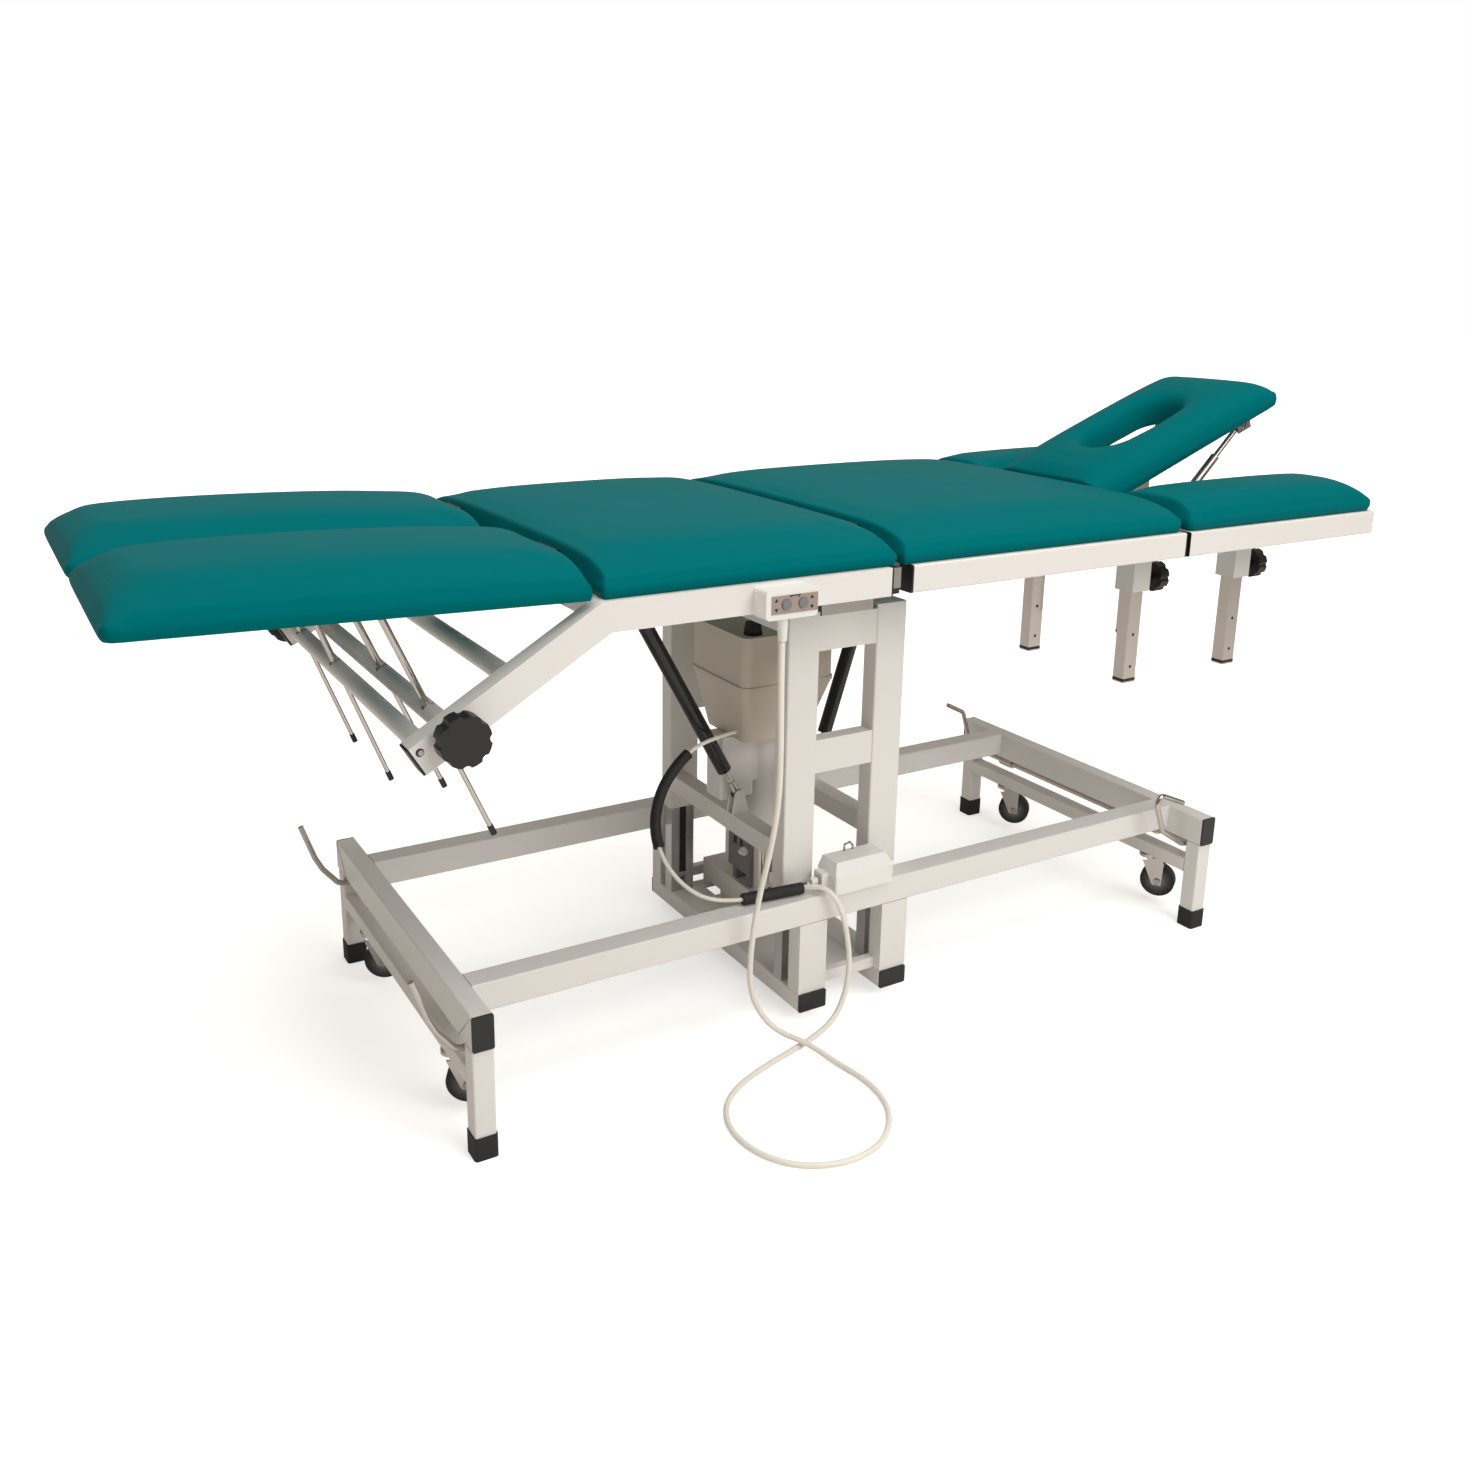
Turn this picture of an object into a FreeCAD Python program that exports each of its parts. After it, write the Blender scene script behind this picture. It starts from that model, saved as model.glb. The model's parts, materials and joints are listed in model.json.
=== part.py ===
import FreeCAD, Part
import math
import os

# Treatment couch with a powered lift, a five-section top and castors that swing down.
# Millimetres. +X runs from the leg end to the head end, -Y is the near side, +Z is up.
# The origin is on the floor, under the middle of the couch.

V = FreeCAD.Vector
Y_AXIS = V(0, 1, 0)

# Base frame
base_left = -652.0
base_length = 1378.0
base_width = 633.0
beam_width = 30.0
beam_height = 50.0
beam_top = 211.0
tube_wall = 2.5
corner_radius = 3.0
leg_gap_to_floor = 4.0
boot_height = 34.0
boot_wall = 1.6
rail_width = 40.0
rail_height = 43.0
rail_spacing = 444.0
cap_depth = 10.0
cap_head = 3.0

# Column feet and fixed posts
column_x = 2.0
fixed_pitch = 155.0
floor_tube_width = 50.0
floor_tube_height = 30.0
floor_tube_bottom = 22.0
fixed_post_depth = 30.0
link_bar_height = 18.0
link_bar_depth = 14.0
floor_plate_thickness = 3.0
floor_plate_length = 392.0
floor_window = 38.0
floor_window_y = 147.0
floor_window_inset = 17.0
channel_width = 50.0
channel_height = 47.0
channel_wall = 3.0
channel_start_y = 32.0
channel_end_y = 190.0

# Lift carriage
moving_pitch = 160.0
post_width = 55.0
post_depth = 33.0
post_face_y = 198.0
post_bottom = 215.0
post_top = 646.0
post_wall = 3.0
top_bar_bottom = 585.0
top_bar_height = 54.0
mid_bar_bottom = 392.0
mid_bar_height = 53.0
cross_bar_depth = 25.0
cross_tube_width = 30.0
cross_tube_height = 30.0
cross_tube_bottom = 251.0
head_beam_height = 30.0
guide_top = 500.0
guide_gap = 2.2
guide_foot = 12.0
pedestal_x = -1.0

# Actuator
actuator_face_x = -111.0
actuator_length_x = 170.0
actuator_half_width = 85.0
actuator_top = 584.0
actuator_lip = 504.0
actuator_lip_height = 6.0
actuator_bottom = 406.0
actuator_foot_half_width = 62.0
gearbox_x = -116.0
gearbox_length = 64.0
gearbox_half_width = 24.0
gearbox_bottom = 300.0
gearbox_neck = 15.0
ram_x = -20.0
ram_radius = 25.0
ram_bottom = 226.0
piston_radius = 12.5
piston_overlap = 20.0
piston_gap = 0.3
lift_down = 110.0
lift_up = 180.0
ram_wall = 4.0

# Cushions and hinges
cushion_bottom = 737.0
cushion_thickness = 50.0
top_width = 678.0
cushion_corner = 22.0
cushion_edge = 9.0
hinge_height = 775.0
seat_hinge_x = -13.0
leg_hinge_x = -474.0
head_hinge_x = 556.0
seam = 8.0
back_end_gap = 5.0
leg_cushion_length = 553.0
leg_cushion_gap = 8.0
leg_tilt = 1.5
head_cushion_length = 462.0
head_cushion_width = 280.0
head_tilt = 21.0
slot_length = 205.0
slot_width = 100.0
slot_centre = 235.0
arm_pad_length = 474.2
arm_pad_inner_y = 150.0
hinge_knuckle = 4.0
hinge_leaf = 2.5
hinge_span = 58.0
hinge_y = 180.0
seat_pin = 2.0
row_gap = 0.5
hinge_foot = 20.0
head_hinge_y = 88.0

# Seat and back frames
side_tube_width = 30.0
side_tube_height = 40.0
side_gap = 19.0
arm_drop = 30.6
arm_length = 290.5
bend_x = -471.0
arm_tube_radius = 12.5
clamp_tube_near = 54.7
clamp_tube_far = 17.6
brace_tube = 150.0
arm_depth_of_tube = 19.0
clamp_plug = 34.0
arm_rest_gap = 4.0
arm_rest_length = 466.0
cross_member_width = 30.0

# Leg struts
strut_near_x = -720.5
strut_far_x = -752.4
strut_pivot_z = 726.0
strut_rod_radius = 3.3
strut_sleeve_radius = 4.6
strut_tail = 178.0
strut_tip = 14.0
strut_slot_width = 9.0
strut_slot_length = 16.0
strut_inner_y = 60.0
strut_outer_y = 250.0
leg_bar_width = 24.0
leg_bar_thickness = 5.0

# Gas springs
spring_radius = 12.0
spring_rod_radius = 5.0
spring_eye_radius = 9.0
spring_eye_width = 12.0
spring_pin_radius = 4.0
spring_pin_gap = 0.05
spring_neck = 52.0
spring_shoulder = 38.0
spring_bore_end = 54.0
seat_spring_y = -37.0
back_spring_y = 30.0
spring_foot_z = 312.0
seat_spring_foot_x = -92.0
seat_spring_top_x = -302.0
back_spring_foot_x = 108.0
back_spring_top_x = 228.0
spring_top_z = 690.0
ear_gap = 0.5
ear_thickness = 4.0
spring_bar_height = 22.0
back_slot_length = 20.0
back_slot_angle = -23.0

# Head carrier, arm-rest posts and knobs
carrier_width = 28.0
carrier_start = 440.0
carrier_height = 34.0
carrier_end = 1002.0
socket_size = 42.0
socket_bottom = 588.0
arm_post_x = 664.0
arm_post_pitch = 265.0
arm_post_width = 30.0
arm_post_depth = 25.0
arm_post_y = 123.0
arm_post_bottom = 420.0
arm_post_gap = 0.4
socket_top = 672.0
arm_bar_height = 24.0
knob_radius = 27.5
knob_length = 20.0
knob_offset = 22.0
knob_stem_radius = 6.0
knob_z = 608.0
leg_knob_radius = 32.0
leg_knob_length = 24.0
leg_knob_offset = 14.0
leg_knob_stem_radius = 6.0

# Head ratchet
ratchet_y = 88.0
ratchet_top_along = 413.0
ratchet_foot_x = 838.0
ratchet_foot_z = 746.0
ratchet_rod_radius = 5.0
ratchet_sleeve_radius = 8.0
ratchet_sleeve_length = 92.0
ratchet_rail_height = 10.0
ratchet_rail_start = 704.0
ratchet_drop = 16.0
ratchet_slot = 19.0
ratchet_slot_end = 5.5
ratchet_slot_width = 12.0
ratchet_slot_angle = -39.5
ratchet_rod_start = 40.0
ratchet_bore_start = 11.0

# Castors and pedals
bar_height = 25.0
bar_bottom = 100.0
castor_y = 195.0
castor_stem_radius = 6.0
dome_radius = 27.0
wheel_radius = 31.0
wheel_width = 22.0
wheel_centre_z = 50.0
castor_trail = 20.0
fork_cheek = 3.0
fork_gap = 1.5
axle_radius = 4.0
pedal_radius = 4.5
pedal_shaft_radius = 5.0
pedal_shaft_z = 150.0
pedal_y = 281.0
knuckle_radius = 9.0
knuckle_length = 34.0
fit_gap = 0.3
shaft_gap = 0.06

# Electrical pieces and cords
switch_x = -257.0
switch_length = 80.0
switch_depth = 32.0
switch_height = 40.0
switch_bottom = 694.0
plate_inset = 8.0
plate_height = 24.0
plate_thickness = 1.2
button_radius = 7.0
button_travel = 1.5
relief_x = -221.0
relief_y = -355.0
relief_length = 33.0
relief_top_radius = 7.5
relief_end_radius = 6.0
cord_radius = 4.25
thin_cord_radius = 3.2
sleeve_radius = 9.0
box_x = -45.0
box_length = 110.0
box_front_y = -253.0
box_back_y = -203.0
box_front_height = 29.0
box_back_height = 47.0
unit_x = -22.0
unit_length = 56.0
unit_start_y = 33.0
unit_end_y = 103.0
unit_bottom = 119.0
unit_top = 189.0

base_right = base_left + base_length
beam_bottom = beam_top - beam_height
rail_outer = rail_spacing / 2 + rail_width / 2
rail_inner = rail_outer - rail_width
floor_tube_top = floor_tube_bottom + floor_tube_height
floor_plate_top = floor_tube_top - corner_radius
half_width = top_width / 2
cushion_top = cushion_bottom + cushion_thickness
side_outer = half_width
side_inner = side_outer - side_tube_width
side_top = cushion_bottom
side_bottom = side_top - side_tube_height
post_inner = post_face_y - post_depth
piston_top = ram_bottom + lift_up + piston_overlap
ram_bore_top = piston_top + lift_down + ram_wall
ram_top = ram_bore_top + ram_wall
sides = (-1, 1)
button_places = (switch_x + 30, switch_x + 56)

# Pedals: how each leaves its shaft, as X and Z points; castors: the trailing angle at rest
pedal_routes = {
    (-1, -1): [(-661, 151), (-686, 182), (-697, 204), (-716, 262)],
    (-1, 1): [(-661, 151), (-686, 182), (-697, 204), (-716, 262)],
    (1, -1): [(690, 154), (638, 188), (617, 240), (625, 258), (683, 233)],
    (1, 1): [(690, 156), (671, 199), (657, 243), (614, 265)],
}
castor_turn = {(-1, -1): -27, (-1, 1): -27, (1, -1): -57, (1, 1): -50}

# Cord routes
hand_cord_route = [
    (-221, -355, 661), (-221, -355, 603), (-216, -351, 517), (-208, -338, 427), (-204, -313, 342),
    (-202, -282, 258), (-205, -268, 172), (-203, -263, 104), (-184, -262, 56), (-157, -272, 22),
    (-128, -310, 14.5), (-111, -362, 4.6), (-99, -420, 4.5), (-106, -475, 4.6), (-130, -517, 4.5),
    (-168, -549, 4.6), (-215, -560, 4.5), (-263, -551, 4.6), (-305, -522, 4.5), (-329, -475, 4.6),
    (-331, -420, 4.5), (-308, -372, 4.6), (-265, -340, 4.5), (-209, -319, 4.6), (-150, -303, 4.5),
    (-92, -286, 5), (-48, -270, 14), (-25, -264, 52), (-20, -263, 100), (-28, -263, 150),
    (-40, -264, 192), (-55, -258, 221), (-70, -239, 229), (-86, -222, 221)]
loop_route = [
    (-186, -212, 221), (-226, -207, 224), (-262, -186, 240), (-284, -150, 272), (-284, -112, 314),
    (-262, -88, 362), (-222, -76, 402), (-174, -68, 426), (-113, -66, 430)]


def block(x0, x1, y0, y1, z0, z1):
    """Block between two opposite corners, whatever their order."""
    low = V(min(x0, x1), min(y0, y1), min(z0, z1))
    return Part.makeBox(abs(x1 - x0), abs(y1 - y0), abs(z1 - z0), low)


def bar(start, end, radius):
    """Round bar between two points."""
    start = V(*start)
    axis = V(*end) - start
    return Part.makeCylinder(radius, axis.Length, start, axis)


def edges_along(shape, axis):
    """Straight edges of a shape that run along one axis."""
    found = []
    for edge in shape.Edges:
        if len(edge.Vertexes) == 2:
            step = edge.Vertexes[1].Point - edge.Vertexes[0].Point
            if step.Length > 0 and abs(abs(step.normalize().dot(axis)) - 1) < 1e-6:
                found.append(edge)
    return found


def rounded(shape, axis, radius):
    """The same shape with its edges along one axis rounded."""
    return shape.makeFillet(radius, edges_along(shape, axis))


def axis_of(letter):
    return {"x": V(1, 0, 0), "y": V(0, 1, 0), "z": V(0, 0, 1)}[letter]


def profile_bar(x0, x1, y0, y1, z0, z1, along):
    """Solid bar with the rounded corners of a drawn tube."""
    return rounded(block(x0, x1, y0, y1, z0, z1), axis_of(along), corner_radius)


def bore_of(x0, x1, y0, y1, z0, z1, along, wall, over):
    """Inside of a tube: the block less its wall, run past its ends by `over`."""
    dx = -over if along == "x" else wall
    dy = -over if along == "y" else wall
    dz = -over if along == "z" else wall
    lx, hx = sorted((x0, x1))
    ly, hy = sorted((y0, y1))
    lz, hz = sorted((z0, z1))
    return block(lx + dx, hx - dx, ly + dy, hy - dy, lz + dz, hz - dz)


def fuse_all(shapes):
    first = shapes[0]
    if len(shapes) == 1:
        return first
    return first.fuse(shapes[1:]).removeSplitter()


def cut_all(shape, tools):
    return shape.cut(tools)


def group(shapes):
    """Separate solids kept in one node."""
    return Part.makeCompound(shapes)


def mirror_y(shape):
    return shape.mirror(V(0, 0, 0), Y_AXIS)


def extrude_xz(points, y0, y1):
    """Plate or bar: an outline in X and Z, extruded along Y."""
    corners = [V(x, y0, z) for x, z in points]
    face = Part.Face(Part.makePolygon(corners + corners[:1]))
    return face.extrude(V(0, y1 - y0, 0))


def extrude_yz(points, x0, x1):
    """Plate or bar: an outline in Y and Z, extruded along X."""
    corners = [V(x0, y, z) for y, z in points]
    face = Part.Face(Part.makePolygon(corners + corners[:1]))
    return face.extrude(V(x1 - x0, 0, 0))


def turned(shape, x, z, degrees):
    """Shape turned about a Y line through (x, z); positive lifts its +X side."""
    copy = shape.copy()
    copy.rotate(V(x, 0, z), Y_AXIS, -degrees)
    return copy


def turned_point(x, z, pivot_x, pivot_z, degrees):
    angle = math.radians(degrees)
    dx = x - pivot_x
    dz = z - pivot_z
    new_x = pivot_x + dx * math.cos(angle) - dz * math.sin(angle)
    new_z = pivot_z + dx * math.sin(angle) + dz * math.cos(angle)
    return new_x, new_z


def path_wire(points, name, limit):
    """Straight runs joined by tangent arcs; an arc takes 0.45 of its shorter run."""
    points = [V(*p) for p in points]
    edges = []
    start = points[0]
    length = 0.0
    radii = []
    for before, corner, after in zip(points, points[1:], points[2:]):
        back = before - corner
        ahead = after - corner
        reach = 0.45 * min(back.Length, ahead.Length)
        half_turn = (math.pi - back.getAngle(ahead)) / 2
        radius = reach / math.tan(half_turn)
        if limit and radius > limit:
            radius = limit
            reach = radius * math.tan(half_turn)
        back.normalize()
        ahead.normalize()
        bisector = (back + ahead).normalize()
        middle = corner + bisector * (radius / math.cos(half_turn) - radius)
        first = corner + back * reach
        last = corner + ahead * reach
        edges.append(Part.LineSegment(start, first).toShape())
        edges.append(Part.Arc(first, middle, last).toShape())
        start = last
        radii.append(radius)
    edges.append(Part.LineSegment(start, points[-1]).toShape())
    length = sum(edge.Length for edge in edges)
    print(name, "radii", [round(r, 1) for r in radii], "length", round(length, 1))
    return Part.Wire(edges), length


def round_tube(points, radius, name, limit=0):
    """Round solid along a path of runs and arcs."""
    wire, length = path_wire(points, name, limit)
    start = V(*points[0])
    direction = V(*points[1]) - start
    ring = Part.Wire(Part.Circle(start, direction, radius).toShape())
    solid = wire.makePipeShell([ring], True, False)
    ratio = solid.Volume / (math.pi * radius ** 2 * length)
    print(name, "volume over section times length", round(ratio, 4))
    return solid


def fluted_knob(radius, length, lobes):
    """Clamp knob of rounded lobes, standing on Z = 0 and turned about Z."""
    body = Part.makeCylinder(radius, length)
    notches = []
    for index in range(lobes):
        angle = 2 * math.pi * index / lobes
        reach = radius * 1.1
        centre = V(reach * math.cos(angle), reach * math.sin(angle), -1)
        notches.append(Part.makeCylinder(radius * 0.2, length + 2, centre))
    body = body.cut(notches)
    return body


def placed(shape, origin, direction):
    """Shape built along +Z, moved so that +Z lies along a direction."""
    copy = shape.copy()
    copy.Placement = FreeCAD.Placement(V(*origin), FreeCAD.Rotation(V(0, 0, 1), V(*direction)))
    return copy


# Base frame
def make_base_frame():
    solids = []
    bores = []
    half = base_width / 2
    for x0 in (base_left, base_right - beam_width):
        beam = (x0, x0 + beam_width, -half, half, beam_bottom, beam_top)
        solids.append(profile_bar(*beam, "y"))
        bores.append(bore_of(*beam, "y", tube_wall, 1))
        for side in sides:
            leg = (x0, x0 + beam_width, side * (half - beam_width), side * half, leg_gap_to_floor, beam_bottom)
            solids.append(profile_bar(*leg, "z"))
            bores.append(bore_of(*leg[:5], beam_bottom - tube_wall, "z", tube_wall, 0)
                         .fuse(block(x0 + tube_wall, x0 + beam_width - tube_wall,
                                     side * (half - tube_wall), side * (half - beam_width + tube_wall),
                                     leg_gap_to_floor - 1, leg_gap_to_floor + 1)))
    rail_x = (base_left + beam_width, base_right - beam_width)
    for side in sides:
        rail = (*rail_x, side * rail_inner, side * rail_outer, beam_top - rail_height, beam_top)
        solids.append(profile_bar(*rail, "x"))
        bores.append(bore_of(*rail, "x", tube_wall, -tube_wall))
        for x in (rail_x[0] + 60, rail_x[1] - 60):
            y = side * rail_spacing / 2
            bores.append(bar((x, y, beam_top - rail_height - 1), (x, y, beam_top - rail_height + 5), 4))
    for end in sides:
        x = column_x + end * fixed_pitch / 2
        x0 = x - floor_tube_width / 2
        x1 = x + floor_tube_width / 2
        foot = (x0, x1, -rail_outer, rail_outer, floor_tube_bottom, floor_tube_top)
        solids.append(profile_bar(*foot, "y"))
        bores.append(bore_of(*foot, "y", tube_wall, 1))
        for side in sides:
            inner = side * (rail_outer - fixed_post_depth)
            post = (x0, x1, inner, side * rail_outer, floor_tube_top, beam_top - rail_height)
            solids.append(block(*post))
            bores.append(bore_of(*post, "z", tube_wall, -tube_wall))
    gap_x0 = column_x - fixed_pitch / 2 + floor_tube_width / 2
    gap_x1 = column_x + fixed_pitch / 2 - floor_tube_width / 2
    for side in sides:
        inner = side * (rail_outer - fixed_post_depth)
        solids.append(block(gap_x0, gap_x1, inner, inner + side * link_bar_depth,
                            floor_tube_top, floor_tube_top + link_bar_height))
    half_plate = floor_plate_length / 2
    solids.append(block(gap_x0, gap_x1, -half_plate, half_plate,
                        floor_plate_top - floor_plate_thickness, floor_plate_top))
    bores.append(block(gap_x0 + floor_window_inset, gap_x0 + floor_window_inset + floor_window,
                       floor_window_y - floor_window / 2, floor_window_y + floor_window / 2,
                       floor_tube_top - 10, floor_tube_top + 5))
    solids.append(make_channel())
    frame = fuse_all(solids)
    return cut_all(frame, bores)


def make_channel():
    """Folded channel across the floor plate that carries the control unit."""
    x0 = column_x - channel_width / 2
    x1 = column_x + channel_width / 2
    z0 = floor_plate_top
    z1 = z0 + channel_height
    points = [(x0, z0), (x0, z1), (x1, z1), (x1, z0), (x1 - channel_wall, z0),
              (x1 - channel_wall, z1 - channel_wall), (x0 + channel_wall, z1 - channel_wall),
              (x0 + channel_wall, z0)]
    return extrude_xz(points, channel_start_y, channel_end_y)


def make_boots():
    boots = []
    half = base_width / 2
    for x0 in (base_left, base_right - beam_width):
        for side in sides:
            outer = block(x0 - boot_wall, x0 + beam_width + boot_wall,
                          side * (half + boot_wall), side * (half - beam_width - boot_wall), 0, boot_height)
            outer = rounded(outer, V(0, 0, 1), corner_radius + boot_wall)
            leg = block(x0, x0 + beam_width, side * half, side * (half - beam_width),
                        leg_gap_to_floor, boot_height + 1)
            boots.append(outer.cut(rounded(leg, V(0, 0, 1), corner_radius)))
    return group(boots)


def end_cap(x0, x1, y0, y1, z0, z1, along, direction, wall):
    """Plastic insert: a head over the tube's end and a plug inside it."""
    span = {"x": (x0, x1), "y": (y0, y1), "z": (z0, z1)}[along]
    face = span[1] if direction > 0 else span[0]
    head = {"x": (face, face + direction * cap_head, y0, y1, z0, z1),
            "y": (x0, x1, face, face + direction * cap_head, z0, z1),
            "z": (x0, x1, y0, y1, face, face + direction * cap_head)}[along]
    inner = {"x": (face - direction * cap_depth, face, y0 + wall, y1 - wall, z0 + wall, z1 - wall),
             "y": (x0 + wall, x1 - wall, face - direction * cap_depth, face, z0 + wall, z1 - wall),
             "z": (x0 + wall, x1 - wall, y0 + wall, y1 - wall, face - direction * cap_depth, face)}[along]
    return fuse_all([rounded(block(*head), axis_of(along), corner_radius), block(*inner)])


def make_base_caps():
    caps = []
    half = base_width / 2
    for x0 in (base_left, base_right - beam_width):
        for side in sides:
            caps.append(end_cap(x0, x0 + beam_width, -half, half, beam_bottom, beam_top, "y", side, tube_wall))
    for end in sides:
        x = column_x + end * fixed_pitch / 2
        for side in sides:
            caps.append(end_cap(x - floor_tube_width / 2, x + floor_tube_width / 2, -rail_outer, rail_outer,
                                floor_tube_bottom, floor_tube_top, "y", side, tube_wall))
    return group(caps)


# Lift
def post_box(end, side):
    x = column_x + end * moving_pitch / 2
    return (x - post_width / 2, x + post_width / 2, side * post_inner, side * post_face_y,
            post_bottom, post_top)


def make_guides():
    """Extruded guide rails that stand on the floor tubes inside the moving posts."""
    guides = []
    for end in sides:
        for side in sides:
            x0, x1, y0, y1, _, _ = post_box(end, side)
            y0, y1 = sorted((y0, y1))
            inset = post_wall + guide_gap
            rail = block(x0 + inset, x1 - inset, y0 + inset, y1 - inset, floor_tube_top, guide_top)
            middle = (x0 + x1) / 2
            groove_y = (y0 + y1) / 2
            slot = block(middle - 5, middle + 5, y0 + inset - 1, y0 + inset + 5,
                         floor_tube_top + guide_foot, guide_top + 1)
            other = block(middle - 5, middle + 5, y1 - inset - 5, y1 - inset + 1,
                          floor_tube_top + guide_foot, guide_top + 1)
            core = bar((middle, groove_y, floor_tube_top - 1), (middle, groove_y, guide_top + 1), 4)
            guides.append(rail.cut([slot, other, core]))
    return guides


def make_slide_strips():
    """Plastic strips between the guide rails and the moving posts."""
    strips = []
    for end in sides:
        for side in sides:
            x0, x1, y0, y1, _, _ = post_box(end, side)
            y0, y1 = sorted((y0, y1))
            for x, direction in ((x0 + post_wall, 1), (x1 - post_wall, -1)):
                strips.append(block(x + direction * 0.3, x + direction * (guide_gap - 0.3),
                                    y0 + post_wall + 5, y1 - post_wall - 5,
                                    post_bottom + 4, guide_top - 120))
    return strips


def make_carriage():
    solids = []
    bores = []
    outer_x0 = column_x - moving_pitch / 2 - post_width / 2
    outer_x1 = column_x + moving_pitch / 2 + post_width / 2
    for end in sides:
        for side in sides:
            post = post_box(end, side)
            solids.append(profile_bar(*post, "z"))
            bores.append(bore_of(*post[:5], post_top - post_wall, "z", post_wall, 0)
                         .fuse(bore_of(*post[:4], post_bottom - 1, post_bottom + 5, "z", post_wall, 0)))
    inner_x0 = outer_x0 + post_width
    inner_x1 = outer_x1 - post_width
    for side in sides:
        for bottom, height in ((top_bar_bottom, top_bar_height), (mid_bar_bottom, mid_bar_height)):
            solids.append(block(inner_x0, inner_x1, side * (post_face_y - 2),
                                side * (post_face_y - 2 - cross_bar_depth), bottom, bottom + height))
    for x0 in (outer_x0, outer_x1 - cross_tube_width):
        low = (x0, x0 + cross_tube_width, -post_inner, post_inner,
               cross_tube_bottom, cross_tube_bottom + cross_tube_height)
        high = (x0, x0 + cross_tube_width, -post_inner, post_inner,
                post_top - head_beam_height, post_top)
        solids.append(block(*low))
        solids.append(block(*high))
    for foot_x, y in ((seat_spring_foot_x, seat_spring_y), (back_spring_foot_x, back_spring_y)):
        near_tube = outer_x0 if foot_x < column_x else outer_x1 - cross_tube_width
        top = cross_tube_bottom + cross_tube_height
        for side in sides:
            inner = y + side * (spring_eye_width / 2 + ear_gap)
            solids.append(ear(foot_x, spring_foot_z, inner, inner + side * ear_thickness,
                              near_tube, near_tube + cross_tube_width, top))
        reach = spring_eye_width / 2 + ear_gap + ear_thickness
        solids.append(bar((foot_x, y - reach, spring_foot_z), (foot_x, y + reach, spring_foot_z),
                          spring_pin_radius))
    frame = fuse_all(solids)
    return cut_all(frame, bores)


def ear(x, z, y0, y1, base_x0, base_x1, base_z):
    """Lug with a round head at (x, z) on a base between two X values."""
    width = spring_eye_radius
    plate = extrude_xz([(base_x0, base_z), (x - width, z), (x + width, z), (base_x1, base_z)], y0, y1)
    head = bar((x, y0, z), (x, y1, z), width)
    return plate.fuse(head)


def make_pedestals():
    """Blocks on the top crossbars with the leaves that carry the seat and back hinge."""
    solids = []
    for side in sides:
        y0 = side * (post_face_y - 2 - cross_bar_depth)
        y1 = side * (post_face_y - 2)
        top = top_bar_bottom + top_bar_height
        solids.append(block(pedestal_x - 26, pedestal_x + 26, y0, y1, top, top + 40))
        solids.append(block(pedestal_x - 47, pedestal_x - 26, y0, y1, top, top + 26))
        solids.append(block(pedestal_x + 26, pedestal_x + 47, y0, y1, top, top + 26))
        middle = seat_hinge_x
        width = hinge_span / 3
        leaf = block(middle - hinge_leaf / 2, middle + hinge_leaf / 2,
                     side * hinge_y - width / 2, side * hinge_y + width / 2, top, hinge_height)
        knuckle = bar((middle, side * hinge_y - width / 2, hinge_height),
                      (middle, side * hinge_y + width / 2, hinge_height), hinge_knuckle)
        solids += [leaf, knuckle, hinge_pin(middle, side * hinge_y, 2)]
    half = len(solids) // 2
    return group([fuse_all(solids[:half]), fuse_all(solids[half:])])


def make_actuator_housing():
    """Motor housing: a tall tub, a lip and a tapered lower shell."""
    x0 = actuator_face_x
    x1 = x0 + actuator_length_x
    half = actuator_half_width
    upper = block(x0, x1, -half, half, actuator_lip, actuator_top)
    upper = rounded(upper, V(0, 0, 1), 16)
    lip = rounded(block(x0 - 2, x1 + 2, -half - 2, half + 2, actuator_lip - actuator_lip_height, actuator_lip),
                  V(0, 0, 1), 17)
    foot = actuator_foot_half_width
    low_x0 = x0 + 16
    low_x1 = x1 - 30
    wires = []
    for ax, bx, hy, z in ((x0, x1, half, actuator_lip - actuator_lip_height), (low_x0, low_x1, foot, actuator_bottom)):
        ring = rounded(block(ax, bx, -hy, hy, z, z + 10), V(0, 0, 1), 14)
        face = [f for f in ring.Faces if abs(f.CenterOfMass.z - z) < 1e-6][0]
        wires.append(face.OuterWire)
    lower = Part.makeLoft(wires, True, True)
    well = bar((ram_x, 0, actuator_bottom - 1), (ram_x, 0, ram_top + piston_gap), ram_radius)
    return fuse_all([upper, lip, lower]).cut(well)


def make_actuator_column():
    """Gearbox and outer tube below the motor housing, with the bore for the piston."""
    gearbox = block(gearbox_x, gearbox_x + gearbox_length, -gearbox_half_width, gearbox_half_width,
                    gearbox_bottom, actuator_bottom)
    gearbox = rounded(gearbox, V(0, 0, 1), 6)
    joint = block(gearbox_x + gearbox_length, ram_x, -gearbox_neck, gearbox_neck,
                  gearbox_bottom + 20, actuator_bottom)
    ram = bar((ram_x, 0, ram_bottom), (ram_x, 0, ram_top), ram_radius)
    bore = bar((ram_x, 0, ram_bottom - 1), (ram_x, 0, ram_bore_top), piston_radius + piston_gap)
    return fuse_all([gearbox, joint, ram]).cut(bore)


def make_piston():
    """Piston that stands on the floor plate."""
    foot = rounded(block(ram_x - 20, ram_x + 20, -22, 22, floor_plate_top, floor_plate_top + 8), V(0, 0, 1), 4)
    rod = bar((ram_x, 0, floor_plate_top + 8), (ram_x, 0, piston_top), piston_radius)
    return fuse_all([foot, rod])


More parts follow.
